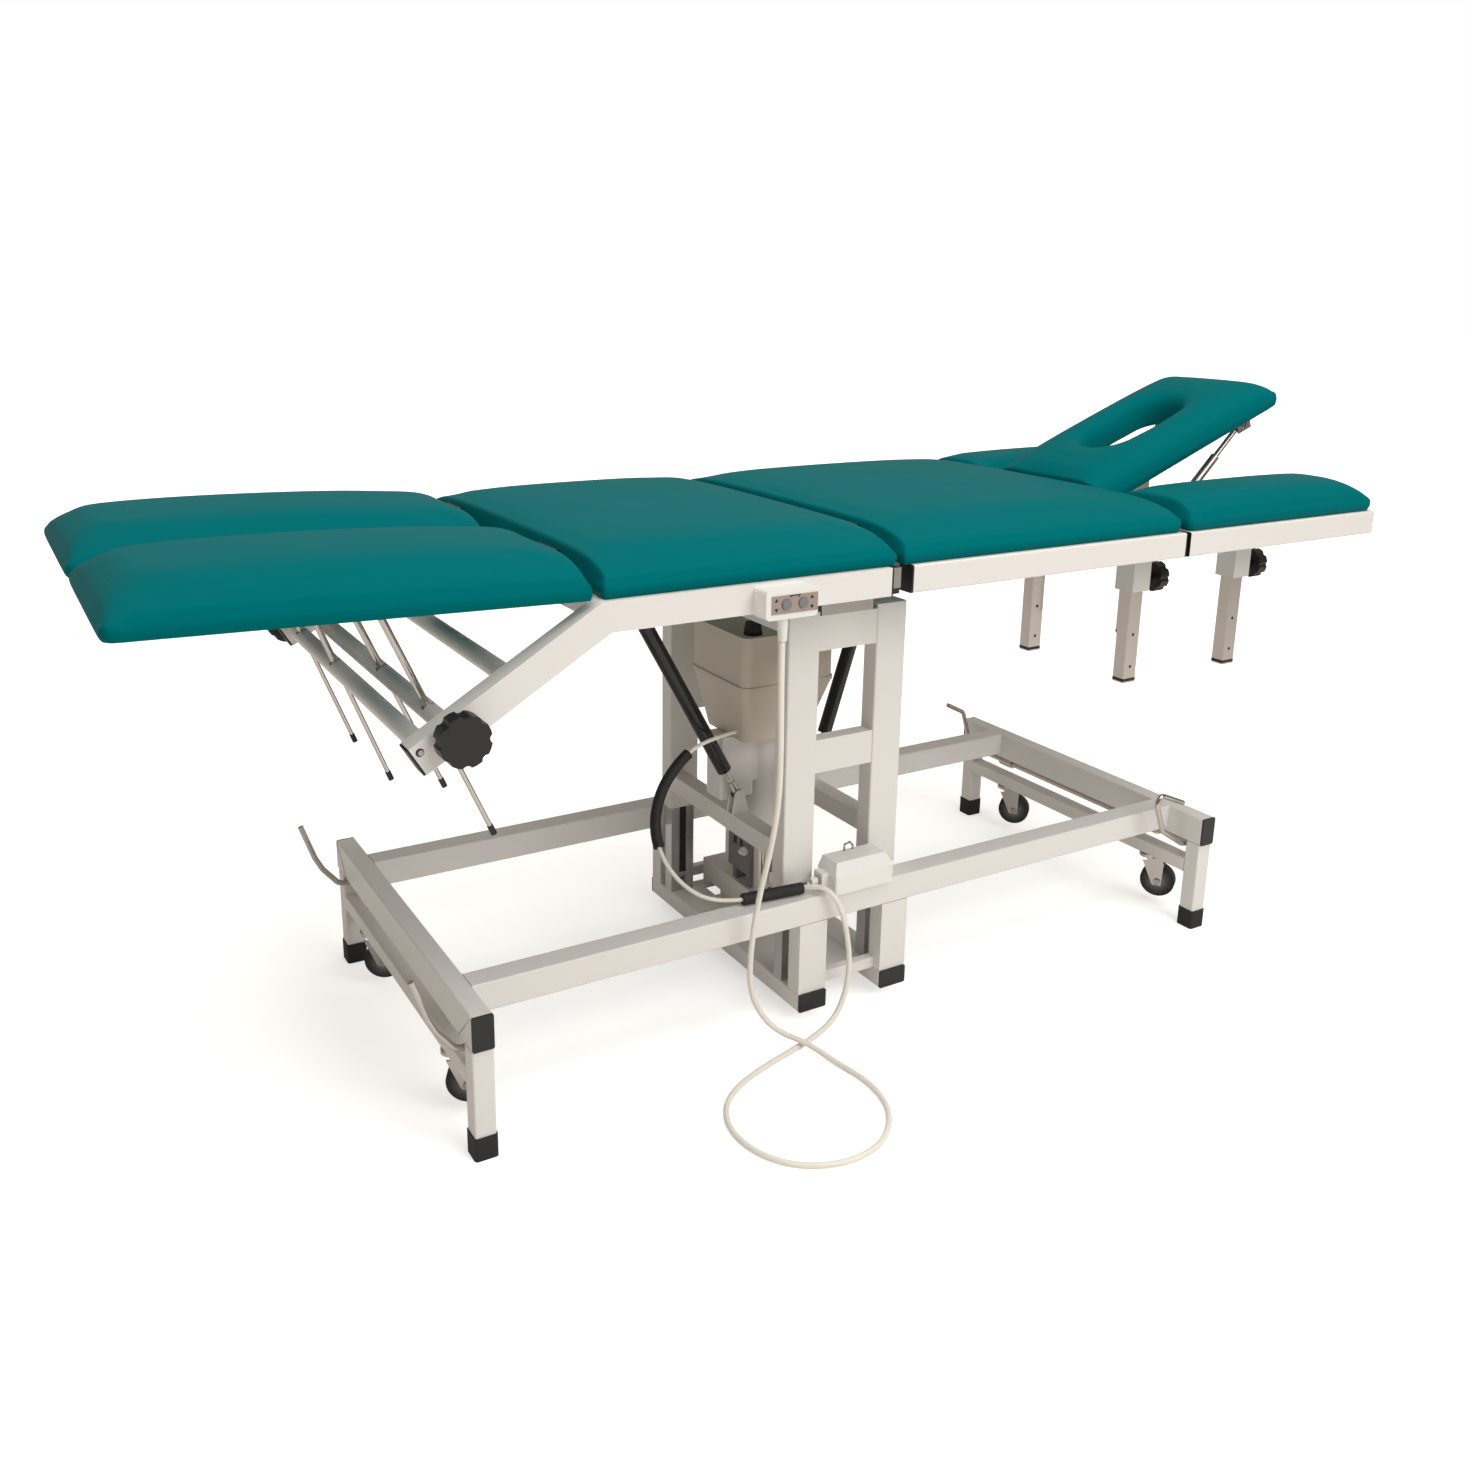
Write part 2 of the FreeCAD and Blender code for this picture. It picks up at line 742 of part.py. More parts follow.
# Seat
def cranked_outline(inset, extra):
    """Side view of the seat's side tube with its dropped arm; `inset` gives the bore."""
    angle = math.radians(arm_drop)
    height = side_tube_height
    along = V(-math.cos(angle), 0, -math.sin(angle))
    down = V(math.sin(angle), 0, -math.cos(angle))
    shift = math.tan(angle / 2)
    right = seat_hinge_x - side_gap + extra
    top_bend = V(bend_x + inset * shift, 0, side_top - inset)
    low_bend = V(bend_x + (height - inset) * shift, 0, side_bottom + inset)
    start = V(bend_x, 0, side_top)
    end_top = start + along * (arm_length + extra) + down * inset
    end_low = start + along * (arm_length + extra) + down * (height - inset)
    return [(right, side_bottom + inset), (right, side_top - inset), (top_bend.x, top_bend.z),
            (end_top.x, end_top.z), (end_low.x, end_low.z), (low_bend.x, low_bend.z)]


def arm_point(distance, depth):
    """Point in the dropped arm, by its distance from the end and depth below the top edge."""
    angle = math.radians(arm_drop)
    x = bend_x - arm_length * math.cos(angle) + distance * math.cos(angle) + depth * math.sin(angle)
    z = side_top - arm_length * math.sin(angle) + distance * math.sin(angle) - depth * math.cos(angle)
    return x, z


def spring_lugs(x, y, base_z):
    """Pair of lugs below a cross member, with a slot that gives the open pivot play."""
    parts = []
    for side in sides:
        inner = y + side * (spring_eye_width / 2 + ear_gap)
        outer = inner + side * ear_thickness
        plate = extrude_xz([(x - 26, base_z), (x - 22, spring_top_z - 16), (x + 22, spring_top_z - 16),
                            (x + 26, base_z)], inner, outer)
        parts.append(plate)
    return parts


def lug_slot(x, y, length, angle):
    """Slot through both lugs, longer one way, centred on the upper eye."""
    reach = spring_eye_width / 2 + ear_gap + ear_thickness + 1
    radius = spring_pin_radius + 2.5
    half = length / 2
    ends = [bar((x + s * half, y - reach, spring_top_z), (x + s * half, y + reach, spring_top_z), radius)
            for s in sides]
    middle = block(x - half, x + half, y - reach, y + reach, spring_top_z - radius, spring_top_z + radius)
    return turned(fuse_all([ends[0], middle, ends[1]]), x, spring_top_z, angle)


def make_seat_frame():
    solids = []
    bores = []
    outer = cranked_outline(0, 0)
    inner = cranked_outline(tube_wall, 1)
    for side in sides:
        solids.append(extrude_xz(outer, side * side_inner, side * side_outer))
        bores.append(extrude_xz(inner, side * (side_inner + tube_wall), side * (side_outer - tube_wall)))
    right = seat_hinge_x - side_gap
    left = leg_hinge_x + side_gap
    for x0 in (right - cross_member_width, left):
        solids.append(block(x0, x0 + cross_member_width, -side_inner, side_inner, side_bottom, side_top))
    spring_bar_z = side_top - spring_bar_height
    solids.append(block(seat_spring_top_x - 26, seat_spring_top_x + 26, -side_inner, side_inner,
                        spring_bar_z, side_top))
    solids += spring_lugs(seat_spring_top_x, seat_spring_y, spring_bar_z)
    bores.append(lug_slot(seat_spring_top_x, seat_spring_y, 6, 0))
    for distance in (clamp_tube_far, clamp_tube_near, brace_tube):
        x, z = arm_point(distance, arm_depth_of_tube)
        solids.append(bar((x, -side_inner, z), (x, side_inner, z), arm_tube_radius))
        plug = side_inner - clamp_plug
        bores.append(bar((x, -plug, z), (x, plug, z), arm_tube_radius - tube_wall))
    for side, distance in ((-1, clamp_tube_near), (1, clamp_tube_far)):
        x, z = arm_point(distance, arm_depth_of_tube)
        bores.append(bar((x, side * (side_inner - 30), z), (x, side * (side_outer + 1), z),
                         leg_knob_stem_radius + shaft_gap))
        leg_x = strut_near_x if side < 0 else strut_far_x
        aim_x, aim_z = turned_point(leg_x, strut_pivot_z, leg_hinge_x, hinge_height, -leg_tilt)
        slope = math.degrees(math.atan2(z - aim_z, x - aim_x))
        for y in (strut_inner_y, strut_outer_y):
            half_y = strut_slot_width / 2
            slot = block(x - 40, x + 40, side * y - half_y, side * y + half_y,
                         z - strut_slot_length / 2, z + strut_slot_length / 2)
            bores.append(turned(slot, x, z, slope))
    for side in sides:
        solids += hinge_leaves(seat_hinge_x, side * hinge_y, -1, (-1, 1), seat_pin + shaft_gap)
        solids += hinge_leaves(leg_hinge_x, side * hinge_y, 1, (-1, 1), seat_pin + shaft_gap)
    frame = fuse_all(solids)
    return cut_all(frame, bores)


def hinge_leaves(x, centre_y, direction, rows, radius):
    """Leaves and knuckles on one side of a hinge line; rows count from the middle knuckle."""
    parts = []
    width = hinge_span / 3
    for row in rows:
        y = centre_y + row * (width + row_gap)
        near = x + direction * (hinge_knuckle - hinge_leaf)
        far = x + direction * hinge_knuckle
        leaf = block(near, far, y - width / 2, y + width / 2, side_top - hinge_foot, hinge_height)
        foot = block(near, x + direction * side_gap, y - width / 2, y + width / 2,
                     side_top - hinge_foot, side_top - hinge_foot + hinge_leaf)
        knuckle = bar((x, y - width / 2, hinge_height), (x, y + width / 2, hinge_height), hinge_knuckle)
        hole = bar((x, y - width, hinge_height), (x, y + width, hinge_height), radius)
        parts.append(fuse_all([leaf, foot, knuckle]).cut(hole))
    return parts


def hinge_pin(x, centre_y, rows):
    """Pin through every knuckle of one hinge."""
    reach = (rows + 0.5) * (hinge_span / 3 + row_gap)
    return bar((x, centre_y - reach, hinge_height), (x, centre_y + reach, hinge_height), seat_pin)


def cushion(x0, x1, y0, y1, z0, z1):
    """Plain pad: corners rounded in plan, upper edges eased."""
    pad = rounded(block(x0, x1, y0, y1, z0, z1), V(0, 0, 1), cushion_corner)
    rim = [edge for edge in pad.Edges if edge.BoundBox.ZMin > z1 - 0.01]
    return pad.makeFillet(cushion_edge, rim)


def make_seat_cushion():
    return cushion(leg_hinge_x + seam, seat_hinge_x - seam, -half_width, half_width, cushion_bottom, cushion_top)


def make_seat_caps():
    """Inserts at the ends of the dropped arms and of the side tubes."""
    caps = []
    angle = math.radians(arm_drop)
    for side in sides:
        y0, y1 = sorted((side * side_inner, side * side_outer))
        x, z = arm_point(0, 0)
        flat = end_cap(x, x + 100, y0, y1, z - side_tube_height, z, "x", -1, tube_wall)
        caps.append(turned(flat, x, z, arm_drop))
        right = seat_hinge_x - side_gap
        caps.append(end_cap(right - 100, right, y0, y1, side_bottom, side_top, "x", 1, tube_wall))
    return group(caps)


# Back, with the carrier for the head and the arm rests
def make_back_frame():
    solids = []
    bores = []
    left = seat_hinge_x + side_gap
    right = head_hinge_x - arm_rest_gap
    for side in sides:
        tube = (left, right, side * side_inner, side * side_outer, side_bottom, side_top)
        solids.append(profile_bar(*tube, "x"))
        bores.append(bore_of(*tube, "x", tube_wall, 1))
    last = head_hinge_x - side_gap - cross_member_width
    for x0 in (left, last):
        solids.append(block(x0, x0 + cross_member_width, -side_inner, side_inner, side_bottom, side_top))
    spring_bar_z = side_top - spring_bar_height
    solids.append(block(back_spring_top_x - 26, back_spring_top_x + 26, -side_inner, side_inner,
                        spring_bar_z, side_top))
    solids += spring_lugs(back_spring_top_x, back_spring_y, spring_bar_z)
    bores.append(lug_slot(back_spring_top_x, back_spring_y, back_slot_length, back_slot_angle))
    for side in sides:
        solids += hinge_leaves(seat_hinge_x, side * hinge_y, 1, (-2, 2), seat_pin + shaft_gap)
        solids += hinge_leaves(head_hinge_x, side * head_hinge_y, -1, (-1, 1), seat_pin + shaft_gap)
    return cut_all(fuse_all(solids), bores)


def make_carrier():
    """Two tubes under the head end with the square sockets of the arm-rest posts."""
    solids = []
    bores = []
    top = side_bottom
    inner = arm_post_y - socket_size / 2 - carrier_width
    for side in sides:
        tube = (carrier_start, carrier_end, side * inner, side * (inner + carrier_width),
                top - carrier_height, top)
        solids.append(profile_bar(*tube, "x"))
        for index in range(2):
            x = arm_post_x + arm_post_width / 2 + index * arm_post_pitch
            half = socket_size / 2
            y = side * arm_post_y
            solids.append(block(x - half, x + half, y - half, y + half, socket_bottom, socket_top))
            grip_x = arm_post_width / 2 + arm_post_gap
            grip_y = arm_post_depth / 2 + arm_post_gap
            bores.append(block(x - grip_x, x + grip_x, y - grip_y, y + grip_y, socket_bottom - 1, socket_top + 1))
            bores.append(bar((x, y, knob_z), (x + half + 1, y, knob_z), knob_stem_radius + shaft_gap))
        ratchet_foot = side * ratchet_y
        for step in sides:
            y0 = ratchet_foot + step * (ratchet_sleeve_radius + fit_gap)
            solids.append(ear_on(ratchet_foot_x, ratchet_foot_z, y0, y0 + step * 3, 14, top))
        reach = ratchet_sleeve_radius + fit_gap + 3
        solids.append(bar((ratchet_foot_x, ratchet_foot - reach, ratchet_foot_z),
                          (ratchet_foot_x, ratchet_foot + reach, ratchet_foot_z), seat_pin))
        solids.append(block(ratchet_rail_start, ratchet_foot_x - 20, ratchet_foot - 8, ratchet_foot + 8,
                            top, top + ratchet_rail_height))
    for x0 in (carrier_start, carrier_end - cross_member_width):
        solids.append(block(x0, x0 + cross_member_width, -inner, inner, top - carrier_height, top))
    return cut_all(fuse_all(solids), bores)


def ear_on(x, z, y0, y1, half, base_z):
    """Upright lug with a round head, standing on a flat face."""
    plate = block(x - half / 2, x + half / 2, y0, y1, base_z, z)
    return plate.fuse(bar((x, y0, z), (x, y1, z), half / 2))


def make_back_cushion():
    return cushion(seat_hinge_x + seam, head_hinge_x - back_end_gap, -half_width, half_width,
                   cushion_bottom, cushion_top)


def make_back_caps():
    caps = []
    for side in sides:
        y0, y1 = sorted((side * side_inner, side * side_outer))
        left = seat_hinge_x + side_gap
        right = head_hinge_x - arm_rest_gap
        caps.append(end_cap(left, left + 100, y0, y1, side_bottom, side_top, "x", -1, tube_wall))
        caps.append(end_cap(right - 100, right, y0, y1, side_bottom, side_top, "x", 1, tube_wall))
    return group(caps)


# Arm rests
def make_arm_rest(side):
    solids = []
    bores = []
    x0 = head_hinge_x + cap_head + arm_rest_gap
    tube = (x0, x0 + arm_rest_length, side * side_inner, side * side_outer, side_bottom, side_top)
    solids.append(profile_bar(*tube, "x"))
    bores.append(bore_of(*tube, "x", tube_wall, -tube_wall))
    for index in range(2):
        x = arm_post_x + index * arm_post_pitch
        y0 = side * (arm_post_y - arm_post_depth / 2)
        solids.append(block(x, x + arm_post_width, y0, side * side_inner, side_top - arm_bar_height, side_top))
        post = (x, x + arm_post_width, y0, y0 + side * arm_post_depth,
                arm_post_bottom, side_top - arm_bar_height)
        solids.append(block(*post))
        bores.append(bore_of(*post, "z", tube_wall, -tube_wall))
        solids.append(block(x, x + arm_post_width, y0, y0 + side * arm_post_depth,
                            arm_post_bottom - cap_head, arm_post_bottom))
    return cut_all(fuse_all(solids), bores)


def make_arm_pad(side):
    x0 = head_hinge_x + cap_head + arm_rest_gap - 1
    y0, y1 = sorted((side * arm_pad_inner_y, side * half_width))
    return cushion(x0, x0 + arm_pad_length, y0, y1, cushion_bottom, cushion_top)


def make_arm_knob(side, index):
    x = arm_post_x + arm_post_width / 2 + index * arm_post_pitch
    face = x + socket_size / 2 + knob_offset
    knob = placed(fluted_knob(knob_radius, knob_length, 8), (face, side * arm_post_y, knob_z), (1, 0, 0))
    tip = x + arm_post_width / 2 + arm_post_gap
    stem = bar((tip, side * arm_post_y, knob_z), (face, side * arm_post_y, knob_z), knob_stem_radius)
    return fuse_all([knob, stem])


def make_leg_knob(side):
    distance = clamp_tube_near if side < 0 else clamp_tube_far
    x, z = arm_point(distance, arm_depth_of_tube)
    face = side * (side_outer + leg_knob_offset)
    knob = placed(fluted_knob(leg_knob_radius, leg_knob_length, 8), (x, face, z), (0, side, 0))
    stem = bar((x, side * (side_inner - 29), z), (x, face, z), leg_knob_stem_radius)
    return fuse_all([knob, stem])


# Head section
def make_head_cushion():
    x0 = head_hinge_x + seam
    half = head_cushion_width / 2
    pad = cushion(x0, x0 + head_cushion_length, -half, half, cushion_bottom, cushion_top)
    reach = (slot_length - slot_width) / 2
    middle = head_hinge_x + slot_centre
    radius = slot_width / 2
    ends = [bar((middle + s * reach, 0, cushion_bottom - 1), (middle + s * reach, 0, cushion_top + 1), radius)
            for s in sides]
    centre = block(middle - reach, middle + reach, -radius, radius, cushion_bottom - 1, cushion_top + 1)
    pad = pad.cut([ends[0], ends[1], centre])
    return turned(pad, head_hinge_x, hinge_height, head_tilt)


def make_head_bracket():
    """Two flat bars under the head pad, from the hinge to the ratchet lugs."""
    solids = []
    bores = []
    pivot_x = head_hinge_x + ratchet_top_along
    pivot_z = cushion_bottom - leg_bar_thickness - ratchet_drop
    for side in sides:
        y = side * head_hinge_y
        solids += hinge_leaves(head_hinge_x, y, 1, (0,), seat_pin)
        solids.append(hinge_pin(head_hinge_x, y, 1))
        solids.append(block(head_hinge_x + hinge_knuckle - hinge_leaf, pivot_x + 40, y - 11, y + 11,
                            cushion_bottom - leg_bar_thickness, cushion_bottom))
        for step in sides:
            inner = y + step * (ratchet_rod_radius + 1 + ear_gap)
            outer = inner + step * 3
            solids.append(block(pivot_x - 17, pivot_x + 17, inner, outer, pivot_z - 12,
                                cushion_bottom - leg_bar_thickness))
        low = pivot_x - ratchet_slot + ratchet_slot_end
        slot = block(low, pivot_x + ratchet_slot_end, y - 20, y + 20,
                     pivot_z - ratchet_slot_width / 2, pivot_z + ratchet_slot_width / 2)
        bores.append(turned(slot, pivot_x, pivot_z, ratchet_slot_angle))
    frame = cut_all(fuse_all(solids), bores)
    return turned(frame, head_hinge_x, hinge_height, head_tilt)


def ratchet_top():
    return turned_point(head_hinge_x + ratchet_top_along, cushion_bottom - leg_bar_thickness - ratchet_drop,
                        head_hinge_x, hinge_height, head_tilt)


def point_between(x0, z0, x1, z1, distance):
    length = math.hypot(x1 - x0, z1 - z0)
    return x0 + (x1 - x0) * distance / length, z0 + (z1 - z0) * distance / length


def make_ratchet_sleeves():
    top_x, top_z = ratchet_top()
    parts = []
    for side in sides:
        y = side * ratchet_y
        end_x, end_z = point_between(ratchet_foot_x, ratchet_foot_z, top_x, top_z, ratchet_sleeve_length)
        start_x, start_z = point_between(ratchet_foot_x, ratchet_foot_z, top_x, top_z, ratchet_bore_start)
        tube = bar((ratchet_foot_x, y, ratchet_foot_z), (end_x, y, end_z), ratchet_sleeve_radius)
        over_x, over_z = point_between(ratchet_foot_x, ratchet_foot_z, top_x, top_z, ratchet_sleeve_length + 2)
        bore = bar((start_x, y, start_z), (over_x, y, over_z), ratchet_rod_radius + fit_gap)
        half = ratchet_sleeve_radius - 1
        eye = bar((ratchet_foot_x, y - half, ratchet_foot_z), (ratchet_foot_x, y + half, ratchet_foot_z),
                  ratchet_sleeve_radius + 1)
        hole = bar((ratchet_foot_x, y - 12, ratchet_foot_z), (ratchet_foot_x, y + 12, ratchet_foot_z),
                   seat_pin + shaft_gap)
        parts.append(fuse_all([tube, eye]).cut([bore, hole]))
    return group(parts)


def make_ratchet_rods():
    top_x, top_z = ratchet_top()
    parts = []
    for side in sides:
        y = side * ratchet_y
        low_x, low_z = point_between(ratchet_foot_x, ratchet_foot_z, top_x, top_z, ratchet_rod_start)
        rod = bar((low_x, y, low_z), (top_x, y, top_z), ratchet_rod_radius)
        half = ratchet_rod_radius + 1
        eye = bar((top_x, y - half, top_z), (top_x, y + half, top_z), 7)
        reach = half + ear_gap + 3
        pin = bar((top_x, y - reach, top_z), (top_x, y + reach, top_z), 3)
        parts.append(fuse_all([rod, eye, pin]))
    return group(parts)


# Leg sections
def leg_turned(shape):
    return turned(shape, leg_hinge_x, hinge_height, -leg_tilt)


def make_leg_cushion(side):
    x1 = leg_hinge_x - seam
    y0, y1 = sorted((side * leg_cushion_gap / 2, side * half_width))
    pad = cushion(x1 - leg_cushion_length, x1, y0, y1, cushion_bottom, cushion_top)
    return leg_turned(pad)


def make_leg_bracket(side):
    """Flat bars under a leg pad with the lugs of its two struts and its hinge leaf."""
    pivot_x = strut_near_x if side < 0 else strut_far_x
    solids = hinge_leaves(leg_hinge_x, side * hinge_y, -1, (0,), seat_pin)
    solids.append(hinge_pin(leg_hinge_x, side * hinge_y, 1))
    top = cushion_bottom
    low = top - leg_bar_thickness
    near = leg_hinge_x - hinge_knuckle
    ys = [side * strut_inner_y, side * strut_outer_y]
    solids.append(block(near + hinge_leaf - 30, near + hinge_leaf, min(ys) - leg_bar_width / 2,
                        max(ys) + leg_bar_width / 2, low, top))
    for y in ys:
        solids.append(block(pivot_x - 60, near, y - leg_bar_width / 2, y + leg_bar_width / 2, low, top))
        for step in sides:
            inner = y + step * (strut_sleeve_radius + 1 + fit_gap)
            plate = block(pivot_x - 7, pivot_x + 7, inner, inner + step * 3, strut_pivot_z, low)
            solids.append(plate)
            solids.append(bar((pivot_x, inner, strut_pivot_z), (pivot_x, inner + step * 3, strut_pivot_z), 7))
        reach = strut_sleeve_radius + 1 + fit_gap + 3
        solids.append(bar((pivot_x, y - reach, strut_pivot_z), (pivot_x, y + reach, strut_pivot_z), seat_pin))
    return leg_turned(fuse_all(solids))


def make_leg_struts(side):
    """Pair of thin rods with a sleeve at the top; the rods slide through the cross tube."""
    flat_x = strut_near_x if side < 0 else strut_far_x
    top_x, top_z = turned_point(flat_x, strut_pivot_z, leg_hinge_x, hinge_height, -leg_tilt)
    distance = clamp_tube_near if side < 0 else clamp_tube_far
    cross_x, cross_z = arm_point(distance, arm_depth_of_tube)
    reach = math.hypot(cross_x - top_x, cross_z - top_z)
    sleeve_x, sleeve_z = point_between(top_x, top_z, cross_x, cross_z, reach - arm_tube_radius - fit_gap)
    tip_x, tip_z = point_between(top_x, top_z, cross_x, cross_z, reach + strut_tail)
    knob_x, knob_z = point_between(top_x, top_z, cross_x, cross_z, reach + strut_tail + strut_tip)
    parts = []
    for y in (side * strut_inner_y, side * strut_outer_y):
        sleeve = bar((top_x, y, top_z), (sleeve_x, y, sleeve_z), strut_sleeve_radius)
        rod = bar((sleeve_x, y, sleeve_z), (tip_x, y, tip_z), strut_rod_radius)
        tip = bar((tip_x, y, tip_z), (knob_x, y, knob_z), strut_rod_radius + 0.8)
        half = strut_sleeve_radius + 1
        eye = bar((top_x, y - half, top_z), (top_x, y + half, top_z), half)
        hole = bar((top_x, y - 10, top_z), (top_x, y + 10, top_z), seat_pin + shaft_gap)
        parts.append(fuse_all([sleeve, rod, tip, eye]).cut(hole))
    return group(parts)


# Gas springs
def spring_cylinder(foot_x, top_x, y):
    """Black cylinder with its upper eye and cross pin."""
    length = math.hypot(top_x - foot_x, spring_top_z - spring_foot_z)
    start = point_between(foot_x, spring_foot_z, top_x, spring_top_z, spring_neck)
    neck = point_between(foot_x, spring_foot_z, top_x, spring_top_z, length - spring_shoulder)
    deep = point_between(foot_x, spring_foot_z, top_x, spring_top_z, length - spring_bore_end)
    tube = bar((start[0], y, start[1]), (neck[0], y, neck[1]), spring_radius)
    stalk = bar((neck[0], y, neck[1]), (top_x, y, spring_top_z), 5)
    half = spring_eye_width / 2
    eye = bar((top_x, y - half, spring_top_z), (top_x, y + half, spring_top_z), spring_eye_radius)
    reach = half + ear_gap + ear_thickness
    pin = bar((top_x, y - reach, spring_top_z), (top_x, y + reach, spring_top_z), spring_pin_radius)
    before = point_between(foot_x, spring_foot_z, top_x, spring_top_z, spring_neck - 2)
    bore = bar((before[0], y, before[1]), (deep[0], y, deep[1]), spring_rod_radius + fit_gap)
    return fuse_all([tube, stalk, eye, pin]).cut(bore)


def spring_rod(foot_x, top_x, y):
    """Chrome rod with its lower eye."""
    length = math.hypot(top_x - foot_x, spring_top_z - spring_foot_z)
    end = point_between(foot_x, spring_foot_z, top_x, spring_top_z, length - spring_bore_end - 2)
    rod = bar((foot_x, y, spring_foot_z), (end[0], y, end[1]), spring_rod_radius)
    half = spring_eye_width / 2
    collar_end = point_between(foot_x, spring_foot_z, top_x, spring_top_z, 26)
    collar = bar((foot_x, y, spring_foot_z), (collar_end[0], y, collar_end[1]), spring_rod_radius + 1.2)
    eye = bar((foot_x, y - half, spring_foot_z), (foot_x, y + half, spring_foot_z), spring_eye_radius)
    hole = bar((foot_x, y - half - 5, spring_foot_z), (foot_x, y + half + 5, spring_foot_z),
               spring_pin_radius + spring_pin_gap)
    return fuse_all([rod, collar, eye]).cut(hole)


# Castors and pedals
def end_centre_x(end):
    return base_left + beam_width / 2 if end < 0 else base_right - beam_width / 2


def make_castor_bar(end):
    x = end_centre_x(end)
    reach = base_width / 2 - beam_width - fit_gap
    bar_solid = profile_bar(x - beam_width / 2, x + beam_width / 2, -reach, reach,
                            bar_bottom, bar_bottom + bar_height, "y")
    stems = [bar((x, side * castor_y, bar_bottom - 1), (x, side * castor_y, bar_bottom + 16),
                 castor_stem_radius + shaft_gap) for side in sides]
    return bar_solid.cut(stems)


def make_fork(end, side):
    """Castor hood on its stem, with two cheeks and the wheel's axle, trailing along -X at zero."""
    x = end_centre_x(end)
    y = side * castor_y
    top = bar_bottom - fit_gap
    wheel_x = x + castor_trail
    inner = wheel_width / 2 + fork_gap
    stem = bar((x, y, top - 2), (x, y, bar_bottom + 15.5), castor_stem_radius)
    plate = bar((x, y, top - 6), (x, y, top), 17)
    link = block(x, wheel_x + 8, y - inner - fork_cheek, y + inner + fork_cheek, top - 12, top - 5)
    cheeks = []
    for step in sides:
        y0 = y + step * inner
        cheek = extrude_xz([(x - 8, top - 12), (wheel_x + 10, top - 12), (wheel_x + 8, wheel_centre_z - 7),
                            (wheel_x - 8, wheel_centre_z - 7)], y0, y0 + step * fork_cheek)
        cheeks.append(cheek)
    axle = bar((wheel_x, y - inner - fork_cheek - 1, wheel_centre_z),
               (wheel_x, y + inner + fork_cheek + 1, wheel_centre_z), axle_radius)
    body = fuse_all([stem, plate, link] + cheeks + [axle])
    body.rotate(V(x, y, 0), V(0, 0, 1), castor_turn[(end, side)])
    return body


def make_wheel(end, side):
    x = end_centre_x(end)
    y = side * castor_y
    wheel_x = x + castor_trail
    half = wheel_width / 2
    tread = bar((wheel_x, y - half, wheel_centre_z), (wheel_x, y + half, wheel_centre_z), wheel_radius)
    tread = tread.makeChamfer(3, [e for e in tread.Edges if e.Length > wheel_radius * 6])
    hub = bar((wheel_x, y - half - 1, wheel_centre_z), (wheel_x, y + half + 1, wheel_centre_z), 11)
    hole = bar((wheel_x, y - 30, wheel_centre_z), (wheel_x, y + 30, wheel_centre_z), axle_radius + shaft_gap)
    wheel = fuse_all([tread, hub]).cut(hole)
    wheel.rotate(V(x, y, 0), V(0, 0, 1), castor_turn[(end, side)])
    return wheel


def make_pedals(end):
    """Round shaft under the end beam with its cam knuckles and two bent pedals."""
    x = end_centre_x(end)
    reach = base_width / 2 - beam_width - fit_gap
    shaft = bar((x, -reach, pedal_shaft_z), (x, reach, pedal_shaft_z), pedal_shaft_radius)
    solids = [shaft]
    for side in sides:
        y = side * castor_y
        solids.append(bar((x, y - knuckle_length / 2, pedal_shaft_z), (x, y + knuckle_length / 2, pedal_shaft_z),
                          knuckle_radius))
        route = pedal_routes[(end, side)]
        points = [(x, side * pedal_y, pedal_shaft_z)] + [(px, side * pedal_y, pz) for px, pz in route]
        solids.append(round_tube(points, pedal_radius, "pedal", 16))
    return fuse_all(solids)


# Electrical pieces
def make_switch():
    y0 = -half_width
    y1 = y0 - switch_depth
    case = rounded(block(switch_x, switch_x + switch_length, y0, y1, switch_bottom, switch_bottom + switch_height),
                   Y_AXIS, 6)
    plate = block(switch_x + plate_inset, switch_x + switch_length - 1, y1, y1 - plate_thickness,
                  switch_bottom + plate_inset, switch_bottom + plate_inset + plate_height)
    relief = Part.makeCone(relief_end_radius, relief_top_radius, relief_length,
                           V(relief_x, relief_y, switch_bottom - relief_length))
    bores = []
    for x in button_places:
        z = switch_bottom + plate_inset + plate_height / 2
        bores.append(bar((x, y1 - 5, z), (x, y1 + 10, z), button_radius + fit_gap))
    return cut_all(fuse_all([case, plate, relief]), bores)


def make_button(x):
    y1 = -half_width - switch_depth
    z = switch_bottom + plate_inset + plate_height / 2
    cap = bar((x, y1 + 10 - button_travel - fit_gap, z), (x, y1 - plate_thickness - button_travel - 0.5, z),
              button_radius)
    return cap


def make_junction_box():
    """Cover with a tapered top on the near rail, its connector and the round plug."""
    z0 = beam_top
    base_front = box_front_y
    back = box_back_y
    low = z0 + box_front_height
    high = z0 + box_back_height
    body = block(box_x, box_x + box_length, base_front, back, z0, low)
    body = rounded(body, V(0, 0, 1), 4)
    inset = 9.0
    rings = []
    for shift, z in ((0, low), (inset, high)):
        corners = [V(box_x + shift, base_front + shift * 1.4, z), V(box_x + box_length - shift, base_front + shift * 1.4, z),
                   V(box_x + box_length - shift, back, z), V(box_x + shift, back, z)]
        rings.append(Part.makePolygon(corners + corners[:1]))
    lid = Part.makeLoft(rings, True, True)
    connector = block(box_x - 12, box_x, back - 30, back - 8, z0 + 4, z0 + 30)
    plug = bar((box_x - 26, back - 19, z0 + 17), (box_x - 12, back - 19, z0 + 17), 6)
    return fuse_all([body, lid, connector, plug])


